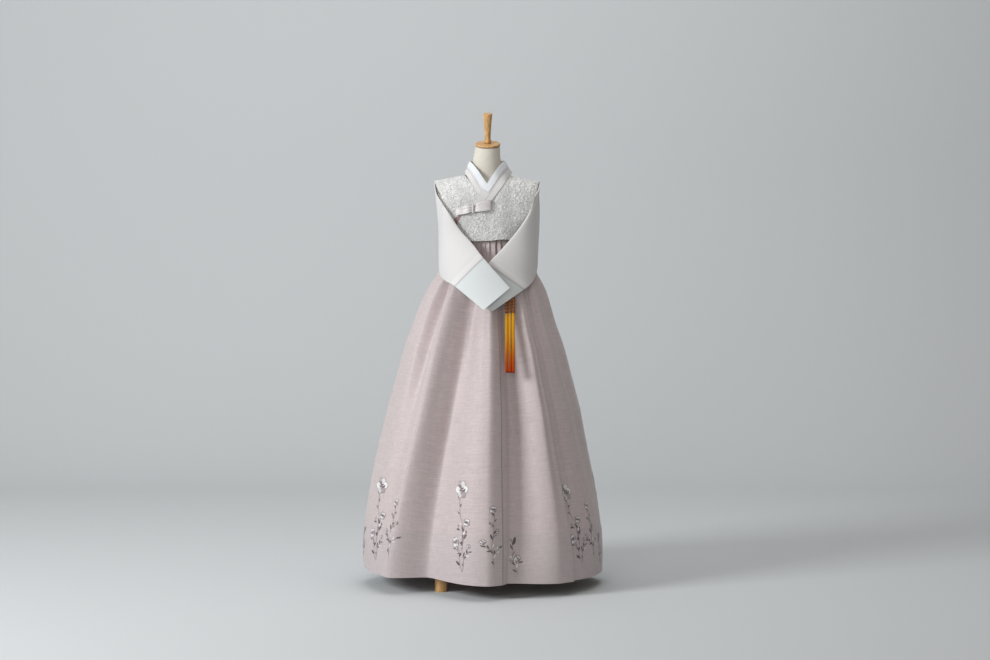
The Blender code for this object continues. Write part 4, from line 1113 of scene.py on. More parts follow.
def skirt_points(columns, shares, depth):
    """Points of the skirt's outer face: an oval ring at each height, moved in and out by folds."""
    columns, down = np.broadcast_arrays(columns, shares)
    lines = np.array(FOLD_LINES)
    closing = lines[:1].copy()
    closing[0, :3] += 360
    lines = np.concatenate([lines, closing])
    stops = np.concatenate([[0], np.cumsum(lines[:-1, 7])])
    turn = np.floor(columns / TOTAL_STEPS)
    local = columns - turn * TOTAL_STEPS
    index = np.clip(np.searchsorted(stops, local, side="right") - 1, 0, len(stops) - 2)
    share = (local - stops[index]) / (stops[index + 1] - stops[index])

    def read(line, first, knots, at):
        """The three numbers from that column of a fold's row, carried down the skirt."""
        return three_point(*(lines[line, first + k] for k in range(3)), knots, at)

    low = np.maximum(down, FOLDS_START)
    here, there = (read(line, 3, FOLD_KNOTS, low) for line in (index, index + 1))
    change = there - here
    fold = hermite(here, there, lines[index, 6] * change, lines[index + 1, 6] * change, share)
    before, after = (read(line, 0, ANGLE_KNOTS, down) for line in (index, index + 1))
    angle = np.radians(before * (1 - share) + after * share + 360 * turn)
    fold = fold * ease(0.10, 0.27, down)
    pleat = np.interp(np.mod(columns / PLEAT_STEPS, 1), [0, 2 / 3, 1], [-0.5, 0.5, -0.5])
    fold = fold + PLEAT_DEPTH * pleat * (1 - ease(0.14, 0.29, down))
    fold = fold + creases(local, down, depth)

    hem = CHIMA_HEM - HEM_TILT * np.sin(angle)
    height = CHIMA_TOP + (hem - CHIMA_TOP) * down
    for press in PRESS_LINES:
        fold = fold + PRESS_DEPTH * bell(height - press, PRESS_HALF)
    rings = np.array(SKIRT_RINGS)
    middle, width, front, back = np.moveaxis(along(rings[:, 0], rings[:, 1:], height), -1, 0)
    oval = np.where(np.cos(angle) > 0, front, back)
    x = middle + (width + fold) * np.sin(angle)
    y = -(oval + fold) * np.cos(angle)
    return np.stack([x, y, height], axis=-1)


class HANBOK_OT_chima(bpy.types.Operator):
    """Build the six widths of the skirt and its chest band"""

    bl_idname = "hanbok.chima"
    bl_label = "Skirt"

    def execute(self, context):
        settings = cloth_settings()
        silk = skirt_silk(tuple(settings.silk))
        columns = np.arange(-SKIRT_FINE, (TOTAL_STEPS + WRAP_STEPS + 1) * SKIRT_FINE + 1)
        columns = columns / SKIRT_FINE
        shares = np.linspace(0, 1, SKIRT_FINE_ROWS) ** SKIRT_ROW_CROWDING
        outer = skirt_points(columns[None, :], shares[:, None], settings.crease)
        normals = facing_of(outer)
        normals *= np.sign(np.sum(normals[..., :2] * outer[..., :2]))
        lift = WRAP_LIFT * ease(TOTAL_STEPS - 4, TOTAL_STEPS - 1, columns)[None, :, None]
        outer = outer + normals * lift
        for name, first, last, near, far in PANELS:
            span = slice((first + 1) * SKIRT_FINE, (last + 1) * SKIRT_FINE + 1)
            face = outer[:, span]
            uv = measured_uv(face)
            ends = (uv[..., 0], uv[:, -1:, 0] - uv[..., 0])
            groove = SEAM_DEPTH * bell(np.minimum(*ends), SEAM_HALF)[..., None]
            face = face - normals[:, span] * groove
            back = face - normals[:, span] * CLOTH
            walls = [drawn_in(grid, SEAM / 2, first_row=True, columns=True) for grid in (face, back)]
            piece = wall("skirt_" + name, *walls, silk, "mauve_silk", uv=uv, sharp=60)
            # painted seam shadow: near and far set how dark it is at each of the panel's two seams
            dark = [bell(edge, SEAM_SHADE_HALF) for edge in ends]
            point_values(piece, "seam", near * dark[0] + far * dark[1])
            sheet(face)
            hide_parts("chima_panel_" + name)

        angles = round_angles(BAND_COLUMNS)
        heights = np.linspace(CHIMA_TOP + SEAM, BAND_TOP, BAND_ROWS)[:, None]
        walls = []
        for inset in (0, BAND):
            depth = np.where(np.cos(angles) > 0, BAND_FRONT, BAND_BACK) - inset
            x = BAND_MIDDLE + (BAND_HALF_WIDTH - inset) * np.sin(angles) + 0 * heights
            y = -depth * np.cos(angles) + 0 * heights
            walls.append(np.stack([x, y, heights + 0 * angles], axis=-1))
        cotton = pressed_cotton("chest_band_weave", (0.70, 0.68, 0.66))
        band = wall("chest_band", *walls, cotton, "chest_band_cotton", closed=True)
        sheet(walls[0], closed=True)
        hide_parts("chima_waistband")
        return {"FINISHED"}


# ---------------------------------------------------------------- embroidery


def petal(s, t, angle, length, half, bend, shade):
    """A pale petal laid over a dark one that is a little larger and shows round its edge."""
    return [
        (s, t, angle, length + PETAL_RIM, half + PETAL_RIM, bend, 0.85, 0.5),
        (s, t, angle, length, half, bend, shade, 1),
    ]


def blossom(s, t, radius, turn):
    """One blossom: a ring of broad petals, a smaller turned ring inside it, and dark threads."""
    blades = []
    for number, (shade, reach) in enumerate(PETALS):
        angle = turn + 60 * number
        heading = math.radians(angle)
        start = radius * 0.26
        blades += petal(s + start * math.cos(heading), t + start * 0.9 * math.sin(heading),
                        angle, radius * reach, radius * 0.33, 24, shade)
    for number, shade in enumerate(INNER_SHADES):
        angle = turn + 25 + 72 * number
        heading = math.radians(angle)
        start = radius * 0.20
        blades.append((s + start * math.cos(heading), t + start * math.sin(heading),
                       angle + 62, radius * 0.50, radius * 0.13, 80, shade, 2))
    for number in range(4):
        blades.append((s, t, turn + 90 * number, radius * 0.42, radius * 0.05, -90, 0.9, 3))
    return blades


def twig(s, t, angle, length, bend, count, size, seed):
    """A stem with leaves set alternately along it, each of its own length, turn and shade."""
    blades = [(s, t, angle, length, STEM_HALF, bend, STEM_SHADE, 0)]
    draw = np.random.default_rng(seed)
    for number in range(count):
        u = (number + 0.8) / (count + 0.5)
        chord = math.radians(angle + bend * (u - 1) / 2)
        side = 1 if number % 2 else -1
        turn = angle + bend * (u - 0.5) - side * draw.uniform(26, 52)
        long = size * draw.uniform(0.8, 1.35)
        tone = LEAF_SHADES[int(draw.integers(len(LEAF_SHADES)))]
        blades.append((s + length * u * math.cos(chord), t + length * u * math.sin(chord), turn,
                       long, long * draw.uniform(0.13, 0.21), side * 18, tone, 1))
    return blades


def spray(kind):
    """Blades of one spray: across, up, heading, length, half width, bend, shade and layer."""
    blades = []
    for row in SPRAY_ROWS[kind]:
        blades += blossom(*row) if len(row) == 4 else twig(*row)
    return np.array(blades)


def lens(blades, rows=8, turns=6):
    """Every blade as a closed lens: its line bends evenly, its half width swells and tapers as a
    sine, and its section is a flat oval. Gives across, up, height, UV and shade."""
    s, t, angle, length, half, bend, shade, layer = (
        blades[:, k][:, None, None] for k in range(8)
    )
    u = np.linspace(0, 1, rows)[None, :, None]
    ring = round_angles(turns)[None]
    heading = np.radians(angle + bend * (u - 0.5))
    chord = np.radians(angle + bend * (u - 1) / 2)
    thin = np.minimum(1, 12 * u * (1 - u) + 0.35)
    swell = np.where(layer == 0, thin, np.sin(math.pi * u) ** 0.7)
    width = half * np.maximum(swell, 0.05) * np.cos(ring)
    line_s = s + length * u * np.cos(chord)
    line_t = t + length * u * np.sin(chord)
    across = line_s - width * np.sin(heading)
    up = line_t + width * np.cos(heading)
    height = np.sin(ring) * np.maximum(swell, 0.1) + 0.8 * layer + 0 * across
    uv = np.stack([width + 0 * across, length * u + 0 * across], axis=-1)
    return across, up, height, uv, shade + 0 * across


class HANBOK_OT_embroidery(bpy.types.Operator):
    """Embroider the sprays of flowers round the foot of the skirt"""

    bl_idname = "hanbok.embroidery"
    bl_label = "Embroidery"

    def execute(self, context):
        depth = cloth_settings().crease
        stitch = trim_settings().stitch
        grids = []
        for kind, foot, foot_share, top, top_share in SPRAYS:
            across, up, height, uv, shade = lens(spray(kind))
            ends = skirt_points(
                np.array([[foot - 0.5, foot + 0.5]]), np.array([[SPRAY_LEVEL]]), depth
            )
            pitch = np.linalg.norm(ends[0, 1] - ends[0, 0])
            rise = up / SPRAY_HEIGHTS[kind]
            column = foot + (top - foot) * rise + across / pitch
            share = foot_share + (top_share - foot_share) * rise
            here = skirt_points(column, share, depth)
            right = skirt_points(column + COLUMN_STEP, share, depth) - here
            below = skirt_points(column, share + SHARE_STEP, depth) - here
            out = unit(np.cross(below, right))
            out *= np.sign(np.sum(out[..., :2] * here[..., :2]))
            lift = stitch * (0.75 + 0.5 * height)[..., None]
            grids.append((here + out * lift, uv, shade))
        points, uvs, shades = (np.concatenate(part) for part in zip(*grids))
        count, rows, turns = points.shape[:3]
        quads = grid_faces(rows, turns, True)[0]
        starts = np.arange(count) * rows * turns
        ring = np.arange(turns)
        body = (quads[None] + starts[:, None, None]).reshape(-1, 4)
        head = ring[None, :] + starts[:, None]
        tail = ring[None, ::-1] + (starts + (rows - 1) * turns)[:, None]
        faces = body.tolist() + head.tolist() + tail.tolist()
        flat_uv = uvs.reshape(-1, 2)
        corners = np.concatenate([flat_uv[body.ravel()], flat_uv[head.ravel()], flat_uv[tail.ravel()]])
        piece = add_mesh(
            "skirt_embroidery", points.reshape(-1, 3), faces, corners, satin_stitch()
        )
        point_values(piece, "thread", shades)
        return {"FINISHED"}


# ---------------------------------------------------------------- jacket


def bodice_section(height):
    """The bodice's level section at a height, read from the smooth curve through the table."""
    sections = np.array(BODICE_SECTIONS)
    return np.moveaxis(along(sections[:, 0], sections[:, 1:], height), -1, 0)


def bodice_y(x, z, front):
    """Depth of the bodice at x and z: an oval section, rounded over the shoulder."""
    middle, width, front_depth, back_depth, edge = bodice_section(z)
    share = np.clip(np.abs(x - middle) / width, 0, 1)
    depth = front_depth if front else back_depth
    depth = edge + (depth - edge) * (1 - share**2.5) ** 0.4
    drop = np.clip((shoulder_z(x) - z) / SHOULDER_ROUND, 0.0004, 1)
    depth = depth * np.sqrt(1 - (1 - drop) ** 2)
    return -depth if front else depth


def armhole_x(z, side):
    """Where the bodice ends at the armhole: +1 is the wearer's left side."""
    middle, width = bodice_section(z)[:2]
    return middle + side * width


def shoulder_z(x):
    """Height of the shoulder seam, a straight slope from the neck."""
    return SHOULDER_PEAK - SHOULDER_SLOPE * np.abs(x)


def outer_ramp(x):
    """How far over the under front the outer front lies at x."""
    return OUTER_LIFT * (1 - ease(0.052, 0.100, x))


def patch(left, right, top, bottom, shares):
    """Coons patch: the two ruled surfaces between opposite edges, less the one through the
    corners."""
    down = shares[:, None, None]
    across = np.linspace(0, 1, len(top))[None, :, None]
    sides = left[:, None] * (1 - across) + right[:, None] * across
    ends = top[None] * (1 - down) + bottom[None] * down
    corners = (
        top[0] * (1 - down) * (1 - across)
        + top[-1] * (1 - down) * across
        + bottom[0] * down * (1 - across)
        + bottom[-1] * down * across
    )
    return sides + ends - corners


class HANBOK_OT_bodice(bpy.types.Operator):
    """Build the four lace pieces of the jacket's body"""

    bl_idname = "hanbok.bodice"
    bl_label = "Lace bodice"

    def execute(self, context):
        lace = corded_lace(tuple(cloth_settings().lace))
        pieces = [
            ("front_outer", OUTER_FRONT_EDGE, OUTER_HEM, 1, True, True),
            ("front_under", UNDER_FRONT_EDGE, UNDER_HEM, -1, True, False),
        ]
        for side, name in ((1, "back_left"), (-1, "back_right")):
            edge = [(FORM_MIDDLE + side * out, z) for out, z in BACK_EDGE]
            hem = [(FORM_MIDDLE, BACK_HEM), (float(armhole_x(BACK_HEM, side)), BACK_HEM)]
            pieces.append((name, edge, hem, side, False, False))
        for name, neck_edge, hem_edge, side, front, lifted in pieces:
            shares = np.linspace(0, 1, LACE_ROWS) ** LACE_ROW_CROWDING
            left = chain(neck_edge, shares)
            hem = chain(hem_edge, np.linspace(0, 1, LACE_COLUMNS))
            top_x = np.linspace(left[0, 0], armhole_x(SHOULDER_END, side), LACE_COLUMNS)
            top = np.stack([top_x, shoulder_z(top_x)], axis=1)
            left[0] = top[0]
            arm_z = top[-1, 1] + (hem[-1, 1] - top[-1, 1]) * shares
            right = np.stack([armhole_x(arm_z, side), arm_z], axis=1)
            hem[-1] = right[-1]
            x, z = np.moveaxis(patch(left, right, top, hem, shares), -1, 0)
            y = bodice_y(x, z, front)
            if lifted:
                y = y - outer_ramp(x)
            forward = -1 if front else 1
            y[0] += SEAM / 2 * forward
            soft = ripple(x * 60, z * 45, 11 + len(name), 6) * LACE_WAVE
            y = y + forward * soft * ease(1.475, 1.44, z)
            grid = drawn_in(np.stack([x, y, z], axis=-1), SEAM, columns=True)
            normals = facing_of(grid)
            normals *= np.sign(np.sum(normals * (0, forward, 0.5)))
            uv = np.stack([x, z], axis=-1)
            piece = wall(
                "lace_" + name, grid, grid - normals * CLOTH, lace, "ivory_lace", uv=uv, sharp=60
            )
            sheet(grid)
            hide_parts("jeogori_" + name)
        return {"FINISHED"}


def round_layout():
    """Shares from top to bottom and side of the hollow for the points round a sleeve."""
    angles = round_angles(SLEEVE_TURNS)[0]
    return (1 - np.cos(angles)) / 2, np.sin(angles)


def armhole_loop(side):
    """Loop just outside the bodice's armhole, down its back and up its front."""
    share, sine = round_layout()
    z = ARMHOLE_TOP + (ARMHOLE_FOOT - ARMHOLE_TOP) * share
    x = armhole_x(z, side) + side * ARMHOLE_GAP
    back = bodice_y(armhole_x(z, side), z, False)
    front = bodice_y(armhole_x(z, side), z, True)
    swing = blunted(sine, 0.25)
    y = (back + front) / 2 + swing * (back - front) / 2
    return np.stack([x, y, z], axis=1)


def section_loop(row):
    """Flattened oval between a section's top and bottom points."""
    top = np.array(row[0:3])
    bottom = np.array(row[3:6])
    facing, bulge, hollow = row[6:9]
    turn = math.radians(facing)
    out = np.array([math.sin(turn), -math.cos(turn), 0])
    share, sine = round_layout()
    middle = top * (1 - share[:, None]) + bottom * share[:, None]
    middle = middle + out * (4 * bulge * share * (1 - share))[:, None]
    half = hollow / 2 * blunted(sine, 0.6)
    return middle + out * half[:, None]


class HANBOK_OT_sleeves(bpy.types.Operator):
    """Build the two flat sleeves and their cuffs"""

    bl_idname = "hanbok.sleeves"
    bl_label = "Sleeves and cuffs"

    def execute(self, context):
        settings = cloth_settings()
        colour = tuple(settings.sleeve)
        ivory = plain_silk("ivory_silk_plain", colour, scaled(colour, 1.10))
        white = plain_silk("white_silk_plain", tuple(settings.cuff))
        for side, rows, label in ((-1, SLEEVE_RIGHT, "right"), (1, SLEEVE_LEFT, "left")):
            loops = np.array([armhole_loop(side)] + [section_loop(row) for row in rows])
            seam = len(rows) - 1
            knots = np.arange(len(loops))
            fine = along(knots, loops, np.linspace(0, seam, SLEEVE_ROWS))
            cuff = along(knots, loops, np.linspace(seam, seam + 1, CUFF_ROWS))
            whole = np.concatenate([fine, cuff[1:]])
            normals = facing_of(whole, closed=True)
            middle = whole.mean(axis=1, keepdims=True)
            normals *= np.sign(np.sum(normals * (whole - middle)))
            reach = np.arange(len(whole))[:, None] / SLEEVE_ROWS
            turn = round_angles(SLEEVE_TURNS)
            soft = ripple(np.cos(turn) * 2.2, reach * 9, 21 + side, 6) * SLEEVE_WAVE
            soft = soft * ease(0.06, 0.2, reach) * (1 - 0.7 * ease(0.80, 0.95, reach))
            whole = whole + normals * soft[..., None]
            inner = whole - normals * CLOTH
            count = len(fine)
            parts = [
                ("sleeve_", ivory, "ivory_silk", slice(0, count), {"last_row": True}),
                ("cuff_", white, "white_silk", slice(count - 1, None), {"first_row": True}),
            ]
            for kind, silk, slot, span, edges in parts:
                walls = [drawn_in(grid[span], SEAM / 2, **edges) for grid in (whole, inner)]
                uv = measured_uv(walls[0], True)
                name = "silk_" + kind + label
                piece = wall(name, *walls, silk, slot, closed=True, uv=uv, sharp=70)
                from_end = uv[-1:, :-1, 1] - uv[:, :-1, 1]
                from_seam = from_end if kind == "sleeve_" else uv[:, :-1, 1]
                # painted shade along the seam between sleeve and cuff
                point_values(piece, "seam", bell(from_seam, 0.0024))
                band = (1 - ease(*SLEEVE_BAND, from_seam)) * (kind == "sleeve_")
                point_values(piece, "band", band)
                held = "hung" if kind == "sleeve_" else "folded"
                sheet(walls[0], closed=True)
                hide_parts(kind + label)
        return {"FINISHED"}


def collar_grid(places):
    """Outer face of the collar band in three columns, lying on the fronts and round the neck."""
    rows = along(np.arange(len(COLLAR_ROWS)), np.array(COLLAR_ROWS), places)
    across = np.array([0, 0.5, 1])[:, None]
    grid = rows[:, None, 0:3] * (1 - across) + rows[:, None, 3:6] * across
    x, y, z = np.moveaxis(grid, -1, 0)
    over = np.clip(rows[:, 6], 0, 1)[:, None]
    surface = bodice_y(x, z, True) - over * outer_ramp(x)
    front = y < COLLAR_FRONT
    lying = front & (z < shoulder_z(x))
    y = np.where(lying, np.minimum(y, surface), y) - GIT_LIFT * front
    away = unit(np.stack([x, y, 0 * z], axis=-1)) * GIT_LIFT
    return np.stack([x, y, z], axis=-1) + np.where(front[..., None], 0, away)


def soften(grid, rounds):
    """The grid with each row drawn a little towards the mean of its neighbours, ends kept."""
    for _ in range(rounds):
        grid = np.concatenate(
            [grid[:1], (grid[:-2] + 2 * grid[1:-1] + grid[2:]) / 4, grid[-1:]]
        )
    return grid


class HANBOK_OT_collar(bpy.types.Operator):
    """Build the collar band and its white strip"""

    bl_idname = "hanbok.collar"
    bl_label = "Collar"

    def execute(self, context):
        settings = cloth_settings()
        ivory = plain_silk("collar_silk_plain", tuple(settings.sleeve))
        cotton = pressed_cotton("collar_strip_cotton", tuple(settings.strip))
        places = np.arange(0, (len(COLLAR_ROWS) - 1) * 2 + 1) / 2
        coarse = collar_grid(places)
        fine_places = np.linspace(0, places[-1], (len(places) - 1) * COLLAR_STEPS + 1)
        base = along(places, coarse, fine_places)
        share = np.linspace(0, 1, COLLAR_COLUMNS)
        low = share[:, None] * 2
        grid = np.where(
            low <= 1,
            base[:, :1] * (1 - low) + base[:, 1:2] * low,
            base[:, 1:2] * (2 - low) + base[:, 2:] * (low - 1),
        )
        normals = facing_of(grid)
        normals *= np.sign(np.sum(normals * grid * (1, 1, 0)))
        line = sum(bell(share - middle, half) for middle, half in COLLAR_LINES)
        face = grid - normals * (COLLAR_LINE_DEPTH * line)[None, :, None]
        piece = wall("collar_band", face, grid - normals * COLLAR_WALL, ivory, "ivory_silk")
        # painted shade in the two stitched grooves of the collar band
        point_values(piece, "seam", np.tile(np.clip(line, 0, 1) * 0.8, (len(grid), 1)))
        sheet(grid)
        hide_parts("git")

        kept = (fine_places >= DONGJEONG_ENDS[0] - 1e-6) & (fine_places <= DONGJEONG_ENDS[1] + 1e-6)
        part = np.linspace(0.01, DONGJEONG_SHARE, STRIP_COLUMNS)
        low = part[:, None] * 2
        strip = (base[:, :1] * (1 - low) + base[:, 1:2] * low)[kept]
        out = facing_of(strip)
        out *= np.sign(np.sum(out * strip * (1, 1, 0)))
        share = np.linspace(0, 1, STRIP_COLUMNS)
        crown = STRIP_CROWN * np.sin(math.pi * share) ** 0.5
        face = strip + out * (COLLAR_GAP + COLLAR_WALL * 0.6 + crown)[None, :, None]
        piece = wall("collar_strip", face, strip + out * COLLAR_GAP, cotton, "white_cotton")
        # painted shade along a line near one edge of the strip
        point_values(piece, "seam", np.tile(bell(share - 0.93, 0.05) * 0.5, (len(strip), 1)))
        sheet(strip)
        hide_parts("dongjeong")
        return {"FINISHED"}


# ---------------------------------------------------------------- bow


def bow_back(x, z):
    """Depth just in front of the layers that the bow lies on."""
    layers = (OUTER_LIFT + GIT_LIFT) * (1 - ease(0.056, 0.085, -x))
    return bodice_y(x, z, True) - layers - BOW_CLEAR


def ribbon_loop(rows, seed):
    """Loop of ribbon: a centre line out and back, with gathers that fan out from the knot."""
    fine = rows_along(rows, LOOP_ROWS)
    side = np.linspace(-1, 1, LOOP_COLUMNS)[None, :]
    x = BOW_MIDDLE[0] + fine[:, 0:1] + 0 * side
    z = BOW_MIDDLE[1] + fine[:, 2:3] + fine[:, 3:4] * side
    near = np.exp(-np.abs(fine[:, 0:1]) / GATHER_REACH)
    gather = GATHER_DEPTH * near * np.cos(side * 9 + seed)
    gather = gather + LOOP_WAVE * np.cos(side * 4 + fine[:, 0:1] * 90)
    front = fine[:, 1:2] > LOOP_FRONT
    y = bow_back(x, z) - fine[:, 1:2] - np.where(front, gather, 0)
    return np.stack([x, y, z], axis=-1)


class HANBOK_OT_bow(bpy.types.Operator):
    """Build the tied ribbon bow"""

    bl_idname = "hanbok.bow"
    bl_label = "Bow"

    def execute(self, context):
        settings = trim_settings()
        satin = ribbon_satin("dusty_pink_satin", tuple(settings.ribbon))
        # painted shade: a darker copy of the ribbon satin for the tail hanging in shadow
        dark = ribbon_satin("tail_painted_shade_satin", tuple(settings.tail))
        slot = "dusty_pink_ribbon"
        for name, rows, seed in (("right", LOOP_RIGHT, 0.4), ("left", LOOP_LEFT, 2.0)):
            grid = ribbon_loop(rows, seed)
            half = facing_of(grid) * RIBBON / 2
            piece = wall("bow_loop_" + name, grid + half, grid - half, satin, slot, sharp=60)
            sheet(grid)
            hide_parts("goreum_loop_" + name)

        x, z = BOW_MIDDLE
        back = float(bow_back(np.array(x), np.array(z)))
        angles = round_angles(48)
        share = np.linspace(-1, 1, 33)[:, None]
        size = 0.80 + 0.20 * (1 - np.abs(share) ** 2.5)
        pinch = 1 - 0.10 * bell(share - 0.25, 0.2)
        crumple = 1 + 0.06 * np.cos(angles * 6 + share * 2)
        ring_x = x + size * pinch * KNOT_HALF_WIDTH * crumple * np.sin(angles)
        ring_y = back - KNOT_HALF_DEPTH - size * KNOT_HALF_DEPTH * np.cos(angles)
        ring_z = z + share * KNOT_HALF_HEIGHT + 0 * angles
        knot = capped("bow_knot", np.stack([ring_x, ring_y, ring_z], axis=-1), satin, 55)
        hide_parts("goreum_knot")

        fine = rows_along(TAIL, TAIL_ROWS)
        side = np.linspace(-1, 1, TAIL_COLUMNS)[None, :]
        x = fine[:, 0:1] + fine[:, 2:3] * side
        z = fine[:, 1:2] + 0.25 * fine[:, 2:3] * side
        y = bodice_y(x, z, True) - TAIL_CLEAR - TAIL_WAVE * (1 + np.cos(side * 7))
        grid = np.stack([x, y, z], axis=-1)
        normals = facing_of(grid)
        normals *= np.sign(np.sum(normals * (0, -1, 0)))
        piece = wall("bow_tail", grid, grid - normals * RIBBON, dark, slot, sharp=60)
        sheet(grid)
        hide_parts("goreum_tail")
        return {"FINISHED"}


# ---------------------------------------------------------------- pendant


class HANBOK_OT_pendant(bpy.types.Operator):
    """Hang the pendant's cord, its three wound heads and their fringes"""

    bl_idname = "hanbok.pendant"
    bl_label = "Pendant"

    def execute(self, context):
        settings = trim_settings()
        points = route(CORD_ROUTE, np.linspace(0, 1, 36)) + PLACE
        curve = bpy.data.curves.new("pendant_cord", "CURVE")
        curve.dimensions = "3D"
        curve.bevel_depth = CORD_RADIUS
        curve.bevel_resolution = 4
        curve.use_fill_caps = True
        line = curve.splines.new("POLY")
        line.points.add(len(points) - 1)
        line.points.foreach_set("co", np.column_stack([points, np.ones(len(points))]).ravel())
        curve.materials.append(wound_thread("pendant_cord_silk", tuple(settings.orange)))
        cord = bpy.data.objects.new("pendant_cord", curve)
        bpy.context.scene.collection.objects.link(cord)
        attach(cord, "root")
        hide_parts("norigae_cord")

        top = np.array(TASSEL_TOP)
        foot = np.array(TASSEL_FOOT)
        down = unit(foot - top)
        front = np.array([0, down[2], -down[1]])
        whole = np.linalg.norm(foot - top)
        orange = wound_thread("norigae_orange_thread", tuple(settings.orange))
        purple = wound_thread("norigae_purple_thread", tuple(settings.purple))
        strands = fringe_silk(tuple(settings.fringe_top), tuple(settings.fringe_foot))
        angles = round_angles(TASSEL_TURNS)
        for number in range(3):
            side = (number - 1) * TASSEL_PITCH
            share = np.linspace(0, 1, HEAD_BANDS * HEAD_BAND_ROWS + 1)[:, None]
            rise = np.minimum(1, np.minimum(share * 14, (1 - share) * 30) + 0.35)
            beads = 1 - 0.10 * np.abs(np.sin(share * math.pi * HEAD_BANDS)) ** 6
            twist = 1 + 0.04 * np.sin(angles * 8 + share * 160)
            wide = HEAD_RADIUS * rise * beads * twist
            distance = share * (TASSEL_HEAD - HEAD_GAP)
            middle = top + down * distance[..., None] + np.array([side, 0, 0])
            grid = middle + (wide * np.sin(angles))[..., None] * np.array([1, 0, 0])
            grid = grid - (wide * 0.93 * np.cos(angles))[..., None] * front
            head = capped(f"pendant_head_{number + 1}", grid, orange, 60)
            head.data.materials.append(purple)
            rows = np.arange(HEAD_BANDS * HEAD_BAND_ROWS)
            dark = np.floor(rows / HEAD_BAND_ROWS + 0.35 * number) % 2 == 1
            dark &= rows % HEAD_BAND_ROWS > 2
            banded = np.append(np.repeat(dark, TASSEL_TURNS), [False, False]).astype(np.int32)
            head.data.polygons.foreach_set("material_index", banded)
            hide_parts(f"norigae_head_{number + 1}")

            share = np.linspace(0, 1, FRINGE_ROWS)[:, None]
            spread = FRINGE_HALF + FRINGE_SPREAD * ease(0, 0.12, share)
            ribs = 1 - 0.10 * np.abs(np.sin(angles * 6.5 + 0.6 * np.sin(share * 5 + number)))
            wave = FRINGE_WAVE * np.sin(share * 7 + number * 2.1) * share
            distance = TASSEL_HEAD + share * (whole - TASSEL_HEAD)
            ragged = FRINGE_RAGGED * np.sin(angles * 9 + number) * ease(0.97, 1, share)
            middle = top + down * (distance + ragged)[..., None] + np.array([side, 0, 0])
            square = blunted(np.sin(angles), 0.6)
            flat = blunted(np.cos(angles), 0.8)
            grid = middle + (spread * ribs * square + wave)[..., None] * np.array([1, 0, 0])
            grid = grid - (spread * 0.92 * ribs * flat)[..., None] * front
            name = f"pendant_fringe_{number + 1}"
            fringe = capped(name, grid, strands, 60)
            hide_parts(f"norigae_fringe_{number + 1}")
        return {"FINISHED"}


# ---------------------------------------------------------------- dress form and stand


class HANBOK_OT_form(bpy.types.Operator):
    """Build the linen-covered form with its wooden neck cap and finial"""

    bl_idname = "hanbok.form"
    bl_label = "Dress form"

    def execute(self, context):
        sections = np.array(FORM_SECTIONS)
        heights = np.concatenate([np.linspace(*FORM_ROUND), np.linspace(*FORM_RISE)])
        widths = np.stack(
            [np.interp(heights, sections[:, 0], sections[:, k]) for k in range(1, 4)], axis=1
        )
        width, front, back = (soften(widths, 2)[:, k, None] for k in range(3))
        angles = round_angles(FORM_TURNS)
        depth = np.where(np.cos(angles) > 0, front, back)
        high = ease(*NECK_BEND, heights)[:, None]
        x = FORM_MIDDLE + (NECK_MIDDLE - FORM_MIDDLE) * high + width * np.sin(angles)
        y = -depth * np.cos(angles)
        z = heights[:, None] + high * math.sin(NECK_TILT) * y
        cover = linen(tuple(stand_settings().linen))
        torso = capped("form_cover", np.stack([x, y, z], axis=-1), cover, 60)
        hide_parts("form_torso")

        maple = turned_maple()
        piece = lathe("neck_cap", CAP_PROFILE, maple, 96, SEAT, NECK_TILT, 40)
        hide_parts("form_neck_cap")
        piece = lathe("finial", FINIAL_PROFILE, maple, 64, SEAT, NECK_TILT)
        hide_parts("form_finial")
        return {"FINISHED"}


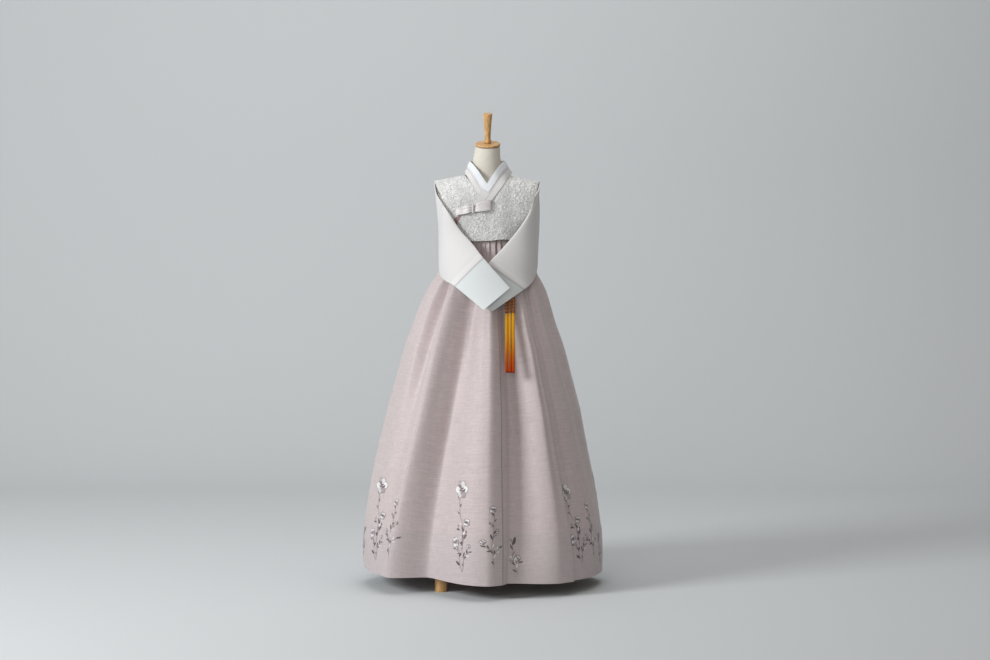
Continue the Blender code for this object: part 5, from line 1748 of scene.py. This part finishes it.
class HANBOK_OT_stand(bpy.types.Operator):
    """Build the pole, the hub, the three arms and the three feet"""

    bl_idname = "hanbok.stand"
    bl_label = "Stand"

    def execute(self, context):
        maple = turned_maple()
        axis = (FORM_MIDDLE, 0, 0)
        bevel = 0.0012
        foot_z = ARM_HEIGHT + 0.0265
        top_z = FORM_SECTIONS[0][0] - 0.0004
        pole = [(POLE_RADIUS - bevel, foot_z), (POLE_RADIUS, foot_z + bevel),
                (POLE_RADIUS, top_z - bevel), (POLE_RADIUS - bevel, top_z)]
        piece = lathe("stand_pole_wood", pole, maple, 48, axis)
        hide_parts("stand_pole")
        hub = [(HUB_RADIUS - 0.004, ARM_HEIGHT - 0.026), (HUB_RADIUS - 0.001, ARM_HEIGHT - 0.0245),
               (HUB_RADIUS, ARM_HEIGHT - 0.022), (HUB_RADIUS, ARM_HEIGHT + 0.022),
               (HUB_RADIUS - 0.001, ARM_HEIGHT + 0.0245), (HUB_RADIUS - 0.004, ARM_HEIGHT + 0.026)]
        piece = lathe("stand_hub_wood", hub, maple, 64, axis)
        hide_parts("stand_hub")
        arm = np.array([
            (HUB_RADIUS + 0.0010, ARM_RADIUS - 0.002), (HUB_RADIUS + 0.02, ARM_RADIUS),
            (FOOT_REACH * 0.55, ARM_RADIUS + 0.002), (FOOT_REACH - FOOT_RADIUS - 0.02, ARM_RADIUS),
            (FOOT_REACH - FOOT_RADIUS - 0.0010, ARM_RADIUS - 0.002),
        ])
        arm = chain_round(arm, 24)
        foot = [(FOOT_RADIUS - 0.002, 0.0), (FOOT_RADIUS - 0.0005, 0.0006), (FOOT_RADIUS, 0.002),
                (FOOT_RADIUS + 0.001, ARM_HEIGHT), (FOOT_RADIUS - 0.003, ARM_HEIGHT + 0.020),
                (FOOT_RADIUS - 0.008, ARM_HEIGHT + 0.026)]
        angles = round_angles(40)[..., None]
        for number, degrees in enumerate(FOOT_ANGLES, 1):
            turn = math.radians(degrees)
            out = np.array([math.sin(turn), -math.cos(turn), 0])
            side = np.array([math.cos(turn), math.sin(turn), 0])
            centre = np.array([FORM_MIDDLE, 0, ARM_HEIGHT]) + out * arm[:, 0, None]
            ring = np.cos(angles) * side + np.sin(angles) * np.array([0, 0, 1])
            grid = centre[:, None] + ring * arm[:, 1, None, None]
            piece = capped(f"stand_arm_wood_{number}", grid, maple)
            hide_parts(f"stand_arm_{number}")
            place = np.array(axis) + out * FOOT_REACH
            piece = lathe(f"stand_foot_wood_{number}", foot, maple, 48, place)
            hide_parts(f"stand_foot_{number}")
        return {"FINISHED"}


# ---------------------------------------------------------------- studio


def softbox(name, place, aim, size, power, colour):
    """Square area light at a place, turned towards a point."""
    light = bpy.data.lights.new(name, "AREA")
    light.shape = "RECTANGLE"
    light.size, light.size_y = size
    light.energy = power
    light.color = colour
    item = bpy.data.objects.new(name, light)
    bpy.context.scene.collection.objects.link(item)
    item.location = place
    heading = np.array(aim, float) - np.array(place, float)
    flat = math.hypot(heading[0], heading[1])
    item.rotation_euler = (math.atan2(flat, -heading[2]), 0, math.atan2(-heading[0], heading[1]))


class HANBOK_OT_stage(bpy.types.Operator):
    """Set up the camera, the soft lights and the sweep of studio paper"""

    bl_idname = "hanbok.stage"
    bl_label = "Studio"

    def execute(self, context):
        scene = bpy.context.scene
        settings = stand_settings()
        optics = bpy.data.cameras.new("camera")
        optics.lens = LENS
        optics.sensor_width = SENSOR
        camera = bpy.data.objects.new("camera", optics)
        scene.collection.objects.link(camera)
        camera.location = tuple(np.add(CAMERA_PLACE, PLACE))
        camera.rotation_euler = (CAMERA_TILT, 0, 0)
        scene.camera = camera

        bend = np.linspace(0, math.pi / 2, 24)
        start = SWEEP_WALL - SWEEP_RADIUS
        y = np.concatenate([SWEEP_NEAR, start + SWEEP_RADIUS * np.sin(bend), [SWEEP_WALL]])
        z = np.concatenate([[0, 0, 0], SWEEP_RADIUS - SWEEP_RADIUS * np.cos(bend), [SWEEP_TOP]])
        x = np.linspace(-SWEEP_HALF, SWEEP_HALF, SWEEP_COLUMNS)
        grid = np.stack(np.broadcast_arrays(x[None, :], y[:, None], z[:, None]), axis=-1)
        mesh = bpy.data.meshes.new("studio_sweep")
        quads = grid_faces(len(y), SWEEP_COLUMNS, False)[0]
        mesh.from_pydata(grid.reshape(-1, 3).tolist(), [], quads[:, ::-1].tolist())
        mesh.materials.append(studio_paper("studio_paper", tuple(settings.floor)))
        mesh.shade_smooth()
        sweep = bpy.data.objects.new("studio_sweep", mesh)
        scene.collection.objects.link(sweep)

        for name, place, aim, size, power, colour in LIGHTS:
            softbox(name, place, aim, size, power or settings.key, colour)
        world = bpy.data.worlds.new("studio_air")
        scene.world = world
        world.use_nodes = True
        air = Tree(world.node_tree, "World Output")
        background = "ShaderNodeBackground"
        lit = air.node(background, None, {"Color": AIR_COLOUR, "Strength": AIR_STRENGTH})
        seen = air.node(background, None, {"Color": FAR_COLOUR})
        straight = air.node("ShaderNodeLightPath")
        air.feed(Surface=air.node("ShaderNodeMixShader", None, {0: straight, 1: lit, 2: seen}))
        scene.view_settings.view_transform = "Standard"
        return {"FINISHED"}


# ---------------------------------------------------------------- panel and registration

STEPS = ("stage", "pendant", "chima", "embroidery", "bodice", "sleeves", "collar", "bow", "form",
         "stand")


class HANBOK_PT_panel(bpy.types.Panel):
    """Lists the hanbok's steps and settings"""

    bl_label = "Hanbok"
    bl_idname = "HANBOK_PT_panel"
    bl_space_type = "VIEW_3D"
    bl_region_type = "UI"
    bl_category = "Hanbok"

    def draw(self, context):
        for step in STEPS:
            self.layout.operator("hanbok." + step)
        for group in (cloth_settings(), trim_settings(), stand_settings()):
            box = self.layout.box()
            for name in group.__annotations__:
                box.prop(group, name)


CLASSES = (
    HanbokCloth, HanbokTrim, HanbokStand, HANBOK_OT_stage, HANBOK_OT_pendant, HANBOK_OT_chima,
    HANBOK_OT_embroidery, HANBOK_OT_bodice, HANBOK_OT_sleeves, HANBOK_OT_collar, HANBOK_OT_bow,
    HANBOK_OT_form, HANBOK_OT_stand, HANBOK_PT_panel,
)


def register():
    for item in CLASSES:
        bpy.utils.register_class(item)
    bpy.types.Scene.hanbok_cloth = bpy.props.PointerProperty(type=HanbokCloth)
    bpy.types.Scene.hanbok_trim = bpy.props.PointerProperty(type=HanbokTrim)
    bpy.types.Scene.hanbok_stand = bpy.props.PointerProperty(type=HanbokStand)


def unregister():
    del bpy.types.Scene.hanbok_stand
    del bpy.types.Scene.hanbok_trim
    del bpy.types.Scene.hanbok_cloth
    for item in reversed(CLASSES):
        bpy.utils.unregister_class(item)


def main():
    register()
    for step in STEPS:
        getattr(bpy.ops.hanbok, step)()


if __name__ == "__main__":
    main()
